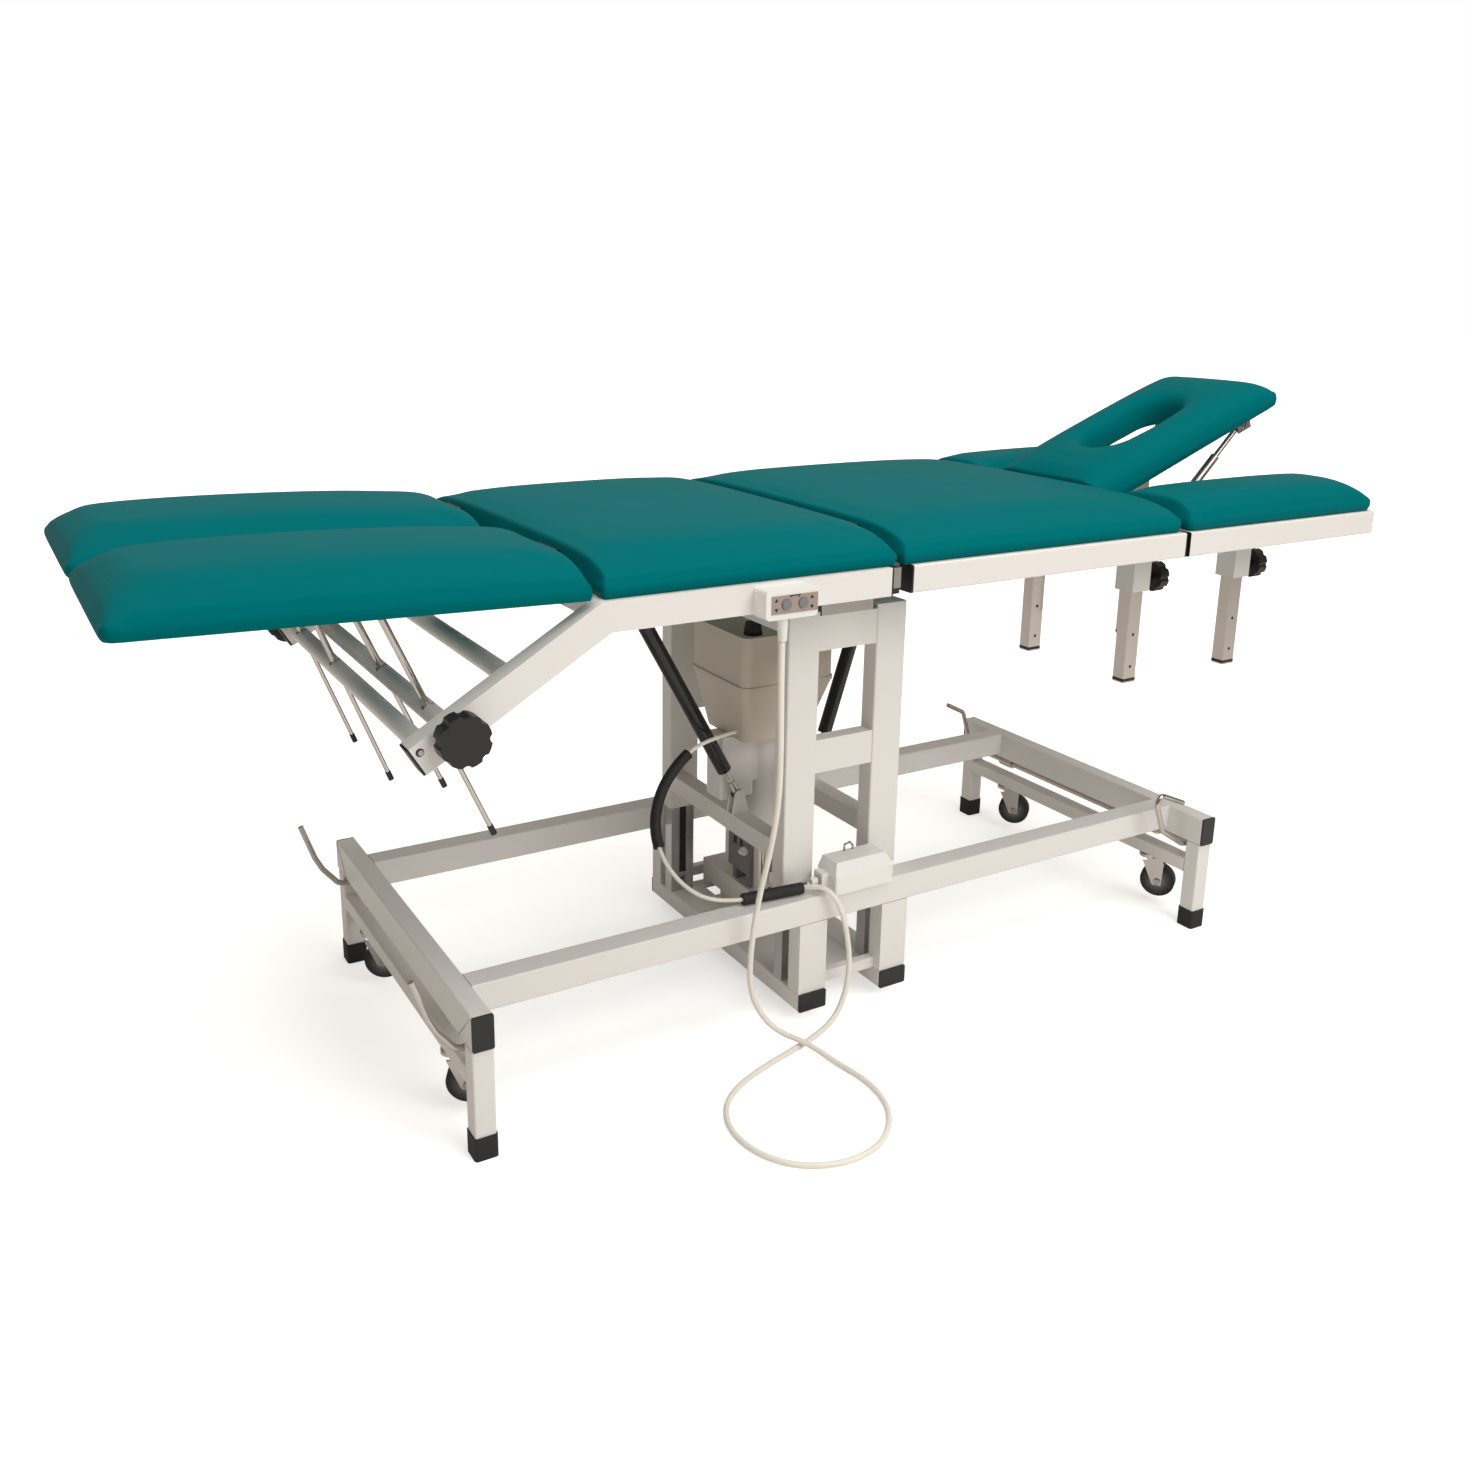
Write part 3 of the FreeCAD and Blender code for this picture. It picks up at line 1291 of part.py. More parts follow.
def make_control_unit():
    unit = rounded(block(unit_x, unit_x + unit_length, unit_start_y, unit_end_y, unit_bottom, unit_top),
                   Y_AXIS, 3)
    z = unit_top - 24
    sockets = [block(unit_x - 1, unit_x + 4, y, y + 12, z, z + 14) for y in (unit_end_y - 28, unit_end_y - 48)]
    feet = [block(unit_x + 6, unit_x + unit_length - 12, y, y + 12, floor_plate_top + channel_height, unit_bottom)
            for y in (unit_start_y + 6, unit_end_y - 18)]
    return fuse_all([unit.cut(sockets)] + feet)


def make_sleeve():
    """Black grip over the cord on the near rail."""
    start = V(*hand_cord_route[-1])
    end = V(*loop_route[0])
    axis = (end - start)
    return Part.makeCylinder(sleeve_radius, axis.Length, start, axis)


parts = {
    "base_frame": make_base_frame(),
    "rubber_boots": make_boots(),
    "base_end_caps": make_base_caps(),
    "guide_rails": group(make_guides() + make_slide_strips()),
    "lift_carriage": make_carriage(),
    "hinge_pedestals": make_pedestals(),
    "actuator_housing": make_actuator_housing(),
    "actuator_column": make_actuator_column(),
    "piston": make_piston(),
    "seat_frame": make_seat_frame(),
    "seat_cushion": make_seat_cushion(),
    "seat_frame_caps": make_seat_caps(),
    "back_frame": make_back_frame(),
    "head_carrier": make_carrier(),
    "back_cushion": make_back_cushion(),
    "back_frame_caps": make_back_caps(),
    "head_cushion": make_head_cushion(),
    "head_bracket": make_head_bracket(),
    "head_ratchet_sleeves": make_ratchet_sleeves(),
    "head_ratchet_rods": make_ratchet_rods(),
    "seat_spring_cylinder": spring_cylinder(seat_spring_foot_x, seat_spring_top_x, seat_spring_y),
    "seat_spring_rod": spring_rod(seat_spring_foot_x, seat_spring_top_x, seat_spring_y),
    "back_spring_cylinder": spring_cylinder(back_spring_foot_x, back_spring_top_x, back_spring_y),
    "back_spring_rod": spring_rod(back_spring_foot_x, back_spring_top_x, back_spring_y),
    "hand_switch": make_switch(),
    "button_up": make_button(button_places[0]),
    "button_down": make_button(button_places[1]),
    "junction_box": make_junction_box(),
    "control_unit": make_control_unit(),
    "cord_sleeve": make_sleeve(),
    "hand_switch_cord": round_tube(hand_cord_route, cord_radius, "hand switch cord"),
    "cord_loop": round_tube(loop_route, thin_cord_radius, "cord loop"),
}
for side, word in ((-1, "near"), (1, "far")):
    parts["arm_rest_" + word] = make_arm_rest(side)
    parts["arm_pad_" + word] = make_arm_pad(side)
    parts["leg_cushion_" + word] = make_leg_cushion(side)
    parts["leg_bracket_" + word] = make_leg_bracket(side)
    parts["leg_struts_" + word] = make_leg_struts(side)
    parts["leg_clamp_knob_" + word] = make_leg_knob(side)
    for index, place in enumerate(("inner", "outer")):
        parts["arm_knob_" + word + "_" + place] = make_arm_knob(side, index)
    for end, end_word in ((-1, "foot"), (1, "head")):
        parts["castor_fork_" + end_word + "_" + word] = make_fork(end, side)
        parts["castor_wheel_" + end_word + "_" + word] = make_wheel(end, side)
for end, end_word in ((-1, "foot"), (1, "head")):
    parts["castor_bar_" + end_word] = make_castor_bar(end)
    parts["pedals_" + end_word] = make_pedals(end)

os.makedirs("parts", exist_ok=True)
for name, shape in parts.items():
    shape.exportStep("parts/" + name + ".step")
print(len(parts), "nodes")
for name, shape in parts.items():
    if not shape.isValid():
        print("not valid:", name)
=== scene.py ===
import json
import math

import bmesh
import bpy
from mathutils import Matrix, Vector


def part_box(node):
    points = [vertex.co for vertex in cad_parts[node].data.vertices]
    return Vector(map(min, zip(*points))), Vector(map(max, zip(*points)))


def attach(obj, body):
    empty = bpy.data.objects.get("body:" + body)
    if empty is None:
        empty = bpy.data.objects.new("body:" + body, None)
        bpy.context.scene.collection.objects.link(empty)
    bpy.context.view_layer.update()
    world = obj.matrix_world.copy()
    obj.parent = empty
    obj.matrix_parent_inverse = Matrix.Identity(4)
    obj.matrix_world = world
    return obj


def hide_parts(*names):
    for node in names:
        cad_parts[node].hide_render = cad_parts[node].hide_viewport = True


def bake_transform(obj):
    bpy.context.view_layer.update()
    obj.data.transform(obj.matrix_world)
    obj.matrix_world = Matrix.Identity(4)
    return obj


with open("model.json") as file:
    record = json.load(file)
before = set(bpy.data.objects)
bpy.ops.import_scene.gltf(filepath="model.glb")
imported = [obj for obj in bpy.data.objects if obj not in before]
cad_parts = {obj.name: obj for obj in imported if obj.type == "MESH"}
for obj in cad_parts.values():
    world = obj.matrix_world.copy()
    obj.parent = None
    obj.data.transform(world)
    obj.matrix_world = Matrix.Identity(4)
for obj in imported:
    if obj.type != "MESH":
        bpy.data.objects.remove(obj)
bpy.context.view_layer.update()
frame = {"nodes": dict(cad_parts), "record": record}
scene = bpy.context.scene


# Shader helpers
def linear(code):
    """Colour of a hex code as the shader's linear numbers."""
    channels = [int(code[i:i + 2], 16) / 255 for i in (1, 3, 5)]
    return [c / 12.92 if c <= 0.04045 else ((c + 0.055) / 1.055) ** 2.4 for c in channels] + [1.0]


def add_node(tree, kind, inputs=None, **settings):
    """New shader node with its settings and socket values; a socket value may be another node's output."""
    node = tree.nodes.new(kind)
    for name, value in settings.items():
        setattr(node, name, value)
    for name, value in (inputs or {}).items():
        if isinstance(value, bpy.types.NodeSocket):
            tree.links.new(value, node.inputs[name])
        else:
            node.inputs[name].default_value = value
    return node


def new_material(name, **surface):
    """Material with one surface shader, whose socket values are given by name."""
    made = bpy.data.materials.new(name)
    made.use_nodes = True
    tree = made.node_tree
    shader = tree.nodes["Principled BSDF"]
    for socket, value in surface.items():
        shader.inputs[socket.replace("_", " ")].default_value = value
    return made, tree, shader


def grain(tree, shader, size_mm, height_mm, detail=2.0, stretch=(1, 1, 1)):
    """Fine surface relief from noise whose features are size_mm across."""
    place = add_node(tree, "ShaderNodeTexCoord").outputs["Object"]
    scaled = add_node(tree, "ShaderNodeMapping", {"Vector": place, "Scale": stretch}).outputs["Vector"]
    noise = add_node(tree, "ShaderNodeTexNoise",
                     {"Vector": scaled, "Scale": 1000 / size_mm, "Detail": detail})
    bump = add_node(tree, "ShaderNodeBump",
                    {"Height": noise.outputs[0], "Distance": height_mm / 1000, "Strength": 0.5})
    tree.links.new(bump.outputs["Normal"], shader.inputs["Normal"])


def mottled(tree, shader, socket, low, high, size_mm):
    """A socket that drifts between two values over patches of size_mm."""
    place = add_node(tree, "ShaderNodeTexCoord").outputs["Object"]
    noise = add_node(tree, "ShaderNodeTexNoise", {"Vector": place, "Scale": 1000 / size_mm, "Detail": 3.0})
    spread = add_node(tree, "ShaderNodeMapRange", {"Value": noise.outputs[0], "To Min": low, "To Max": high})
    tree.links.new(spread.outputs["Result"], shader.inputs[socket])


# Finishes
# Powder coat on steel tube: warm white, satin, faint orange peel
paint, tree, shader = new_material("white powder coat", Base_Color=linear("#E2DFDB"), Roughness=0.36,
                                   Coat_Weight=0.12, Coat_Roughness=0.2)
grain(tree, shader, 2.2, 0.05)
mottled(tree, shader, "Roughness", 0.32, 0.42, 60)

# Upholstery vinyl over foam: teal, fine leather grain, soft sheen
vinyl, tree, shader = new_material("teal vinyl", Base_Color=linear("#006569"), Roughness=0.44,
                                   Specular_IOR_Level=0.02, Specular_Tint=linear("#12A09C"))
place = add_node(tree, "ShaderNodeTexCoord").outputs["Object"]
pores = add_node(tree, "ShaderNodeTexVoronoi", {"Vector": place, "Scale": 620.0}, feature="DISTANCE_TO_EDGE")
folds = add_node(tree, "ShaderNodeTexNoise", {"Vector": place, "Scale": 240.0, "Detail": 3.0})
relief = add_node(tree, "ShaderNodeMath", {0: pores.outputs["Distance"], 1: folds.outputs[0]},
                  operation="ADD")
bump = add_node(tree, "ShaderNodeBump",
                {"Height": relief.outputs["Value"], "Distance": 0.00018, "Strength": 0.35})
tree.links.new(bump.outputs["Normal"], shader.inputs["Normal"])
mottled(tree, shader, "Roughness", 0.38, 0.47, 90)

# Moulded black plastic: caps, knobs, switch trim; the same black also forms flat discs of painted shade in
# small holes
black_plastic, tree, shader = new_material("black plastic", Base_Color=linear("#161616"), Roughness=0.42)
grain(tree, shader, 0.8, 0.04)

# Black rubber: feet, sleeves, tyres
black_rubber, tree, shader = new_material("black rubber", Base_Color=linear("#1B1B1C"), Roughness=0.68)
grain(tree, shader, 1.6, 0.08)

# Chrome-plated steel rod and tube
chrome, tree, shader = new_material("chrome plate", Base_Color=linear("#C2BBB4"), Metallic=1.0,
                                    Roughness=0.09)
mottled(tree, shader, "Roughness", 0.06, 0.13, 40)

# Drawn aluminium guide profile, streaks along its length
aluminium, tree, shader = new_material("drawn aluminium", Base_Color=linear("#C9C9CA"), Metallic=1.0,
                                       Roughness=0.32)
grain(tree, shader, 0.7, 0.03, 1.0, (1, 1, 0.02))

# Zinc-plated steel: hinge bars, brackets, bolts
zinc, tree, shader = new_material("zinc plate", Base_Color=linear("#A9A6A1"), Metallic=1.0, Roughness=0.34)
mottled(tree, shader, "Roughness", 0.26, 0.42, 14)

# Gloss black enamel of the gas springs; the same black is laid on the hinge faces in the cushion seams as
# painted shade
enamel, tree, shader = new_material("black enamel", Base_Color=linear("#0D0D0E"), Roughness=0.2)
grain(tree, shader, 3.0, 0.02)

# Beige motor cover, fine spark-eroded texture
beige, tree, shader = new_material("beige plastic", Base_Color=linear("#CDC2B4"), Roughness=0.5)
grain(tree, shader, 0.9, 0.06)

# Pale plastic of the hand switch and the junction box
pale, tree, shader = new_material("pale plastic", Base_Color=linear("#E7E5E1"), Roughness=0.4)
grain(tree, shader, 0.9, 0.03)

# Grey plastic of the control unit
grey, tree, shader = new_material("grey plastic", Base_Color=linear("#77777A"), Roughness=0.52)
grain(tree, shader, 0.9, 0.05)

# Cream cable sheath, smooth flexible plastic
sheath, tree, shader = new_material("cream sheath", Base_Color=linear("#E8E3D8"), Roughness=0.45)
grain(tree, shader, 2.0, 0.03)

finish_of_slot = {
    "white_paint": paint, "teal_vinyl": vinyl, "black_plastic": black_plastic, "black_rubber": black_rubber,
    "chrome_steel": chrome, "guide_aluminium": aluminium, "grey_steel": zinc, "black_steel": enamel,
    "beige_plastic": beige, "pale_plastic": pale, "grey_plastic": grey, "cream_cord": sheath}
slot_of_node = {part["node"]: part["material_slot"] for part in frame["record"]["subparts"]}
for name, node in frame["nodes"].items():
    node.data.materials.clear()
    node.data.materials.append(finish_of_slot[slot_of_node[name]])


# Mesh helpers
def new_piece(name, bm, body, finish, smooth=True):
    """Object from a bmesh, with its finish, riding a body."""
    bmesh.ops.recalc_face_normals(bm, faces=bm.faces)
    mesh = bpy.data.meshes.new(name)
    bm.to_mesh(mesh)
    bm.free()
    if smooth is not None:
        for face in mesh.polygons:
            face.use_smooth = smooth
    mesh.materials.append(finish)
    piece = bpy.data.objects.new(name, mesh)
    scene.collection.objects.link(piece)
    if body:
        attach(piece, body)
    return piece


# Upholstered pads
lip = 0.014          # height where the top's roll starts at the edge
band = 0.009         # height of the straight band along the board
foot_inset = 0.0045  # how far the foot is drawn in under the band
cover_cell = 0.006   # mesh size of the cover
settle_frames = 20   # frames in which the cover swells
even_rounds = 14     # rounds of evening out its movement


def roll(distance, width):
    """Rounded rise from 0 at the edge to 1 at width in from it, without a crease where it ends."""
    t = min(max(distance / width, 0.0), 1.0)
    return math.sqrt(1 - (1 - t) ** 2.4)


def hump(t):
    """Low dome over 0..1, 1 in the middle."""
    return 1 - abs(2 * t - 1) ** 2.4


def pad_grid(length, width, height, crown, end_roll, side_roll, corner):
    """Crowned closed pad over x 0..length and y -width/2..width/2, from z 0 up."""
    bm = bmesh.new()
    cell = 0.009
    nx = round(length / cell)
    ny = round(width / cell)
    layers = []
    for inset, base in ((foot_inset, 0.0), (0.0, band), (0.0, None)):
        grid = []
        for i in range(nx + 1):
            row = []
            for j in range(ny + 1):
                x = inset + (length - 2 * inset) * i / nx
                y = -width / 2 + inset + (width - 2 * inset) * j / ny
                from_start, from_end = x, length - x
                from_side = min(y + width / 2, width / 2 - y)
                cx = min(from_start, from_end)
                bend = corner[0] if from_start < from_end else corner[1]
                if cx < bend and from_side < bend:
                    dx, dy = bend - cx, bend - from_side
                    reach = math.hypot(dx, dy)
                    if reach > bend - inset:
                        pull = (bend - inset) / reach
                        x += (1 - pull) * dx * (1 if from_start < from_end else -1)
                        y += (1 - pull) * dy * (1 if y < 0 else -1)
                z = base
                if base is None:
                    arch = roll(x, end_roll[0]) * roll(length - x, end_roll[1])
                    arch *= roll(min(y + width / 2, width / 2 - y), side_roll)
                    z = lip + (height - lip) * arch + crown * hump(x / length) * hump(y / width + 0.5)
                row.append((x, y, z))
            grid.append(row)
        layers.append(grid)
    bottom, middle, top = [[[bm.verts.new(p) for p in row] for row in grid] for grid in layers]
    for i in range(nx):
        for j in range(ny):
            bm.faces.new((top[i][j], top[i + 1][j], top[i + 1][j + 1], top[i][j + 1]))
            bm.faces.new((bottom[i][j], bottom[i][j + 1], bottom[i + 1][j + 1], bottom[i + 1][j]))
    rim = [(i, 0) for i in range(nx)] + [(nx, j) for j in range(ny)]
    rim += [(i, ny) for i in range(nx, 0, -1)] + [(0, j) for j in range(ny, 0, -1)]
    for (a, b), (c, d) in zip(rim, rim[1:] + rim[:1]):
        bm.faces.new((bottom[a][b], bottom[c][d], middle[c][d], middle[a][b]))
        bm.faces.new((middle[a][b], middle[c][d], top[c][d], top[a][b]))
    used = {middle[i][j] for i, j in rim}
    bmesh.ops.delete(bm, geom=[v for row in middle for v in row if v not in used], context="VERTS")
    bmesh.ops.remove_doubles(bm, verts=bm.verts, dist=0.0004)
    return bm


def pad_ring(length, width, height, crown, end_roll, side_roll, corner, slot_middle, slot_length, slot_width):
    """Crowned pad with a long round-ended opening through it."""
    bm = bmesh.new()
    count = 160
    rings = 22
    outer, inner = [], []
    straight = (slot_length - slot_width) / 2
    radius = slot_width / 2
    for k in range(count):
        a = 2 * math.pi * k / count
        dx, dy = math.cos(a), math.sin(a)
        reach = 1e9
        if dx:
            reach = min(reach, ((length - slot_middle) if dx > 0 else -slot_middle) / dx)
        if dy:
            reach = min(reach, (width / 2) / abs(dy))
        x, y = slot_middle + reach * dx, reach * dy
        cx = min(x, length - x)
        cy = width / 2 - abs(y)
        bend = corner[0] if x < length / 2 else corner[1]
        if cx < bend and cy < bend:
            ex, ey = bend - cx, bend - cy
            pull = bend / math.hypot(ex, ey)
            if pull < 1:
                x += (1 - pull) * ex * (1 if x < length / 2 else -1)
                y += (1 - pull) * ey * (-1 if y > 0 else 1)
        outer.append((x, y))
        ux = slot_middle + dx * (straight + radius)
        uy = dy * radius
        if abs(dx) > 1e-9 and abs(dy) > 1e-9:
            t = radius / abs(dy)
            if t * abs(dx) <= straight:
                ux, uy = slot_middle + t * dx, t * dy
            else:
                c = straight * (1 if dx > 0 else -1)
                b = c * dx
                t = b + math.sqrt(max(b * b - c * c + radius * radius, 0))
                ux, uy = slot_middle + t * dx, t * dy
        inner.append((ux, uy))

    def height_at(x, y, to_slot):
        arch = roll(x, end_roll[0]) * roll(length - x, end_roll[1]) * roll(width / 2 - abs(y), side_roll)
        arch *= 0.35 + 0.65 * roll(to_slot, 0.030)
        dome = crown * hump(x / length) * hump(y / width + 0.5) * roll(to_slot, 0.05)
        return lip + (height - lip) * arch + dome

    top = []
    for r in range(rings + 1):
        t = (r / rings) ** 1.3 if r < rings else 1.0
        row = []
        for (ox, oy), (ix, iy) in zip(outer, inner):
            x, y = ix + (ox - ix) * t, iy + (oy - iy) * t
            row.append(bm.verts.new((x, y, height_at(x, y, math.hypot(x - ix, y - iy)))))
        top.append(row)
    low = []
    for r in range(5):
        t = r / 4
        row = []
        for (ox, oy), (ix, iy) in zip(outer, inner):
            inset = foot_inset * (2 * t - 1)
            span = math.hypot(ox - ix, oy - iy)
            s = t - inset / span
            row.append(bm.verts.new((ix + (ox - ix) * s, iy + (oy - iy) * s, 0.0)))
        low.append(row)
    sides = []
    for ring in (inner, outer):
        sides.append([bm.verts.new((x, y, band)) for x, y in ring])
    for k in range(count):
        n = (k + 1) % count
        for a, b in zip(top, top[1:]):
            bm.faces.new((a[k], b[k], b[n], a[n]))
        for a, b in zip(low, low[1:]):
            bm.faces.new((a[n], b[n], b[k], a[k]))
        for edge, foot, wall in ((top[0], low[0], sides[0]), (top[-1], low[-1], sides[1])):
            bm.faces.new((edge[k], edge[n], wall[n], wall[k]))
            bm.faces.new((wall[k], wall[n], foot[n], foot[k]))
    bmesh.ops.recalc_face_normals(bm, faces=bm.faces)
    return bm


def puff(piece, cap):
    """Swell a pad with cloth under slight pressure, its underside held flat, moving no point past the cap.

    The movement is evened out, so the cover stays tight without puckers."""
    piece.data.remesh_voxel_size = cover_cell
    for other in bpy.context.selected_objects:
        other.select_set(False)
    piece.select_set(True)
    bpy.context.view_layer.objects.active = piece
    bpy.ops.object.voxel_remesh()
    start = [v.co.copy() for v in piece.data.vertices]
    held = piece.vertex_groups.new(name="held")
    held.add([i for i, co in enumerate(start) if co.z < 0.004], 1.0, "REPLACE")
    cloth = piece.modifiers.new("cloth", "CLOTH")
    cloth.settings.use_pressure = True
    cloth.settings.uniform_pressure_force = 4.0
    cloth.settings.effector_weights.gravity = 0.0
    cloth.settings.vertex_group_mass = "held"
    for frame_number in range(1, settle_frames + 1):
        scene.frame_set(frame_number)
    shape = piece.evaluated_get(bpy.context.evaluated_depsgraph_get()).data
    moved = [v.co.copy() for v in shape.vertices]
    piece.modifiers.clear()
    piece.vertex_groups.clear()
    steps = [now - was for was, now in zip(start, moved)]
    beside = [[] for _ in steps]
    for edge in piece.data.edges:
        a, b = edge.vertices
        beside[a].append(b)
        beside[b].append(a)
    for _ in range(even_rounds):
        steps = [(step + sum((steps[k] for k in near), Vector())) / (1 + len(near))
                 for step, near in zip(steps, beside)]
    for vertex, was, step in zip(piece.data.vertices, start, steps):
        if step.length > cap:
            step *= cap / step.length
        vertex.co = was + step
    scene.frame_set(1)
    for face in piece.data.polygons:
        face.use_smooth = True
    finer = piece.modifiers.new("finer", "SUBSURF")
    finer.levels = finer.render_levels = 1


pad_height = 0.0475
pad_bottom = 0.7372
hinge_height = 0.775
leg_hinge, seat_hinge, head_hinge = -0.474, -0.013, 0.556


def tilt(hinge_x, degrees):
    """Turn about a hinge line across the couch; degrees lift the +X side."""
    pivot = Matrix.Translation((hinge_x, 0, hinge_height))
    return pivot @ Matrix.Rotation(math.radians(-degrees), 4, "Y") @ pivot.inverted()


def add_pad(name, node, body, x, y, length, width, crown, end_roll, side_roll, corner, turn=None,
            opening=None):
    """Pad over x..x + length, centred on y: made flat, swollen, then placed over its board.

    The crown is its extra rise in the middle; end_roll and corner hold the start's and the end's values."""
    shape = (length, width - 0.004, pad_height, crown, end_roll, side_roll, corner)
    bm = pad_ring(*shape, *opening) if opening else pad_grid(*shape)
    piece = new_piece(name, bm, None, vinyl)
    puff(piece, 0.004)
    piece.data.transform(Matrix.Translation((x, y, pad_bottom)))
    if turn:
        piece.data.transform(turn)
    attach(piece, body)
    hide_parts(node)


# The sections meet over the hinge bars with 4 mm seams
for side, word in ((-1, "near"), (1, "far")):
    add_pad("leg_pad_" + word, "leg_cushion_" + word, "leg_" + word, -1.033, side * 0.1715, 0.557, 0.335,
            0.014, (0.060, 0.007), 0.105, (0.020, 0.007), tilt(leg_hinge, -1.5))
add_pad("seat_pad", "seat_cushion", "seat", -0.472, 0, 0.457, 0.678, 0.011, (0.007, 0.007), 0.140,
        (0.007, 0.007))
add_pad("back_pad", "back_cushion", "back", -0.011, 0, 0.564, 0.678, 0.012, (0.007, 0.009), 0.140,
        (0.007, 0.012))
add_pad("head_pad", "head_cushion", "head", 0.559, 0, 0.471, 0.280, 0.011, (0.009, 0.045), 0.070,
        (0.012, 0.020), tilt(head_hinge, 21), (0.232, 0.205, 0.100))
for side, word in ((-1, "near"), (1, "far")):
    add_pad("arm_rest_pad_" + word, "arm_pad_" + word, "arm_rest_" + word, 0.564, side * 0.2445,
            0.4702, 0.189, 0.006, (0.012, 0.075), 0.080, (0.010, 0.020))


# Free cords, with the same points as the construction's
hand_cord_points = [
    (-0.221, -0.355, 0.661), (-0.221, -0.355, 0.603), (-0.216, -0.351, 0.517), (-0.208, -0.338, 0.427),
    (-0.204, -0.313, 0.342), (-0.202, -0.282, 0.258), (-0.205, -0.268, 0.172), (-0.203, -0.263, 0.104),
    (-0.184, -0.262, 0.056), (-0.157, -0.272, 0.022), (-0.128, -0.310, 0.0145), (-0.111, -0.362, 0.0046),
    (-0.099, -0.420, 0.0045), (-0.106, -0.475, 0.0046), (-0.130, -0.517, 0.0045), (-0.168, -0.549, 0.0046),
    (-0.215, -0.560, 0.0045), (-0.263, -0.551, 0.0046), (-0.305, -0.522, 0.0045), (-0.329, -0.475, 0.0046),
    (-0.331, -0.420, 0.0045), (-0.308, -0.372, 0.0046), (-0.265, -0.340, 0.0045), (-0.209, -0.319, 0.0046),
    (-0.150, -0.303, 0.0045), (-0.092, -0.286, 0.005), (-0.048, -0.270, 0.014), (-0.025, -0.264, 0.052),
    (-0.020, -0.263, 0.100), (-0.028, -0.263, 0.150), (-0.040, -0.264, 0.192), (-0.055, -0.258, 0.221),
    (-0.070, -0.239, 0.229), (-0.086, -0.222, 0.221)]
loop_points = [
    (-0.186, -0.212, 0.221), (-0.226, -0.207, 0.224), (-0.262, -0.186, 0.240), (-0.284, -0.150, 0.272),
    (-0.284, -0.112, 0.314), (-0.262, -0.088, 0.362), (-0.222, -0.076, 0.402), (-0.174, -0.068, 0.426),
    (-0.113, -0.066, 0.430)]


def smooth_line(points):
    """Points along the open spline through a cord's control points, read from a curve with no thickness."""
    curve = bpy.data.curves.new("line", "CURVE")
    curve.dimensions = "3D"
    spline = curve.splines.new("NURBS")
    spline.points.add(len(points) - 1)
    for point, place in zip(spline.points, points):
        point.co = (*place, 1)
    spline.order_u = 3
    spline.use_endpoint_u = True
    curve.resolution_u = 12
    carrier = bpy.data.objects.new("line", curve)
    mesh = bpy.data.meshes.new_from_object(carrier)
    line = [v.co.copy() for v in mesh.vertices]
    bpy.data.objects.remove(carrier)
    bpy.data.curves.remove(curve)
    bpy.data.meshes.remove(mesh)
    return line


def tube_mesh(line, radius, around=16):
    """Closed round tube along a line, its rings kept from twisting."""
    bm = bmesh.new()
    rings = []
    side = None
    for index, place in enumerate(line):
        ahead = line[min(index + 1, len(line) - 1)] - line[max(index - 1, 0)]
        ahead.normalize()
        if side is None:
            side = ahead.orthogonal()
        side = (side - ahead * side.dot(ahead)).normalized()
        other = ahead.cross(side)
        ring = []
        for k in range(around):
            a = 2 * math.pi * k / around
            ring.append(bm.verts.new(place + (side * math.cos(a) + other * math.sin(a)) * radius))
        rings.append(ring)
    for a, b in zip(rings, rings[1:]):
        for k in range(around):
            n = (k + 1) % around
            bm.faces.new((a[k], a[n], b[n], b[k]))
    bm.faces.new(rings[0])
    bm.faces.new(rings[-1])
    return bm


hand_line = smooth_line(hand_cord_points)
hand_cord = new_piece("hand_cord", tube_mesh(hand_line, 0.00425), None, sheath)
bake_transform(hand_cord)
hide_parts("hand_switch_cord")

loop_line = smooth_line(loop_points)
drive_lead = new_piece("drive_lead", tube_mesh(loop_line, 0.0032), None, sheath)
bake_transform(drive_lead)
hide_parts("cord_loop")
first = min(range(len(loop_line)), key=lambda i: (loop_line[i] - Vector((-0.285, -0.130, 0.295))).length)
last = min(range(len(loop_line)), key=lambda i: (loop_line[i] - Vector((-0.200, -0.072, 0.415))).length)
lead_sleeve = new_piece("lead_sleeve", tube_mesh(loop_line[first:last], 0.0085), None, black_rubber)
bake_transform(lead_sleeve)


# Small fittings
def bits(name, body, finish, shapes, soften=0.0):
    """One piece of boxes ("box", low, high) and round bars ("rod", start, end, radii), riding a body."""
    bm = bmesh.new()
    for kind, a, b, *radii in shapes:
        a, b = Vector(a), Vector(b)
        centre = Matrix.Translation((a + b) / 2)
        if kind == "box":
            made = bmesh.ops.create_cube(bm, size=1.0)["verts"]
            bmesh.ops.transform(bm, matrix=centre @ Matrix.Diagonal((*(b - a), 1)), verts=made)
            if soften:
                edges = {e for v in made for e in v.link_edges}
                bmesh.ops.bevel(bm, geom=list(edges), offset=soften, segments=3, profile=0.5, affect="EDGES",
                                material=-1)
        else:
            made = bmesh.ops.create_cone(bm, cap_ends=True, segments=28, radius1=radii[0], radius2=radii[-1],
                                         depth=(b - a).length)["verts"]
            along = (b - a).to_track_quat("Z", "Y").to_matrix().to_4x4()
            bmesh.ops.transform(bm, matrix=centre @ along, verts=made)
            for face in {f for v in made for f in v.link_faces if len(f.verts) == 4}:
                face.smooth = True
    return new_piece(name, bm, body, finish, smooth=None)


def finish_faces(node, finish, chosen):
    """Give the faces of a node whose centre passes a test their own finish."""
    mesh = frame["nodes"][node].data
    mesh.materials.append(finish)
    index = len(mesh.materials) - 1
    for face in mesh.polygons:
        if chosen(face.center):
            face.material_index = index
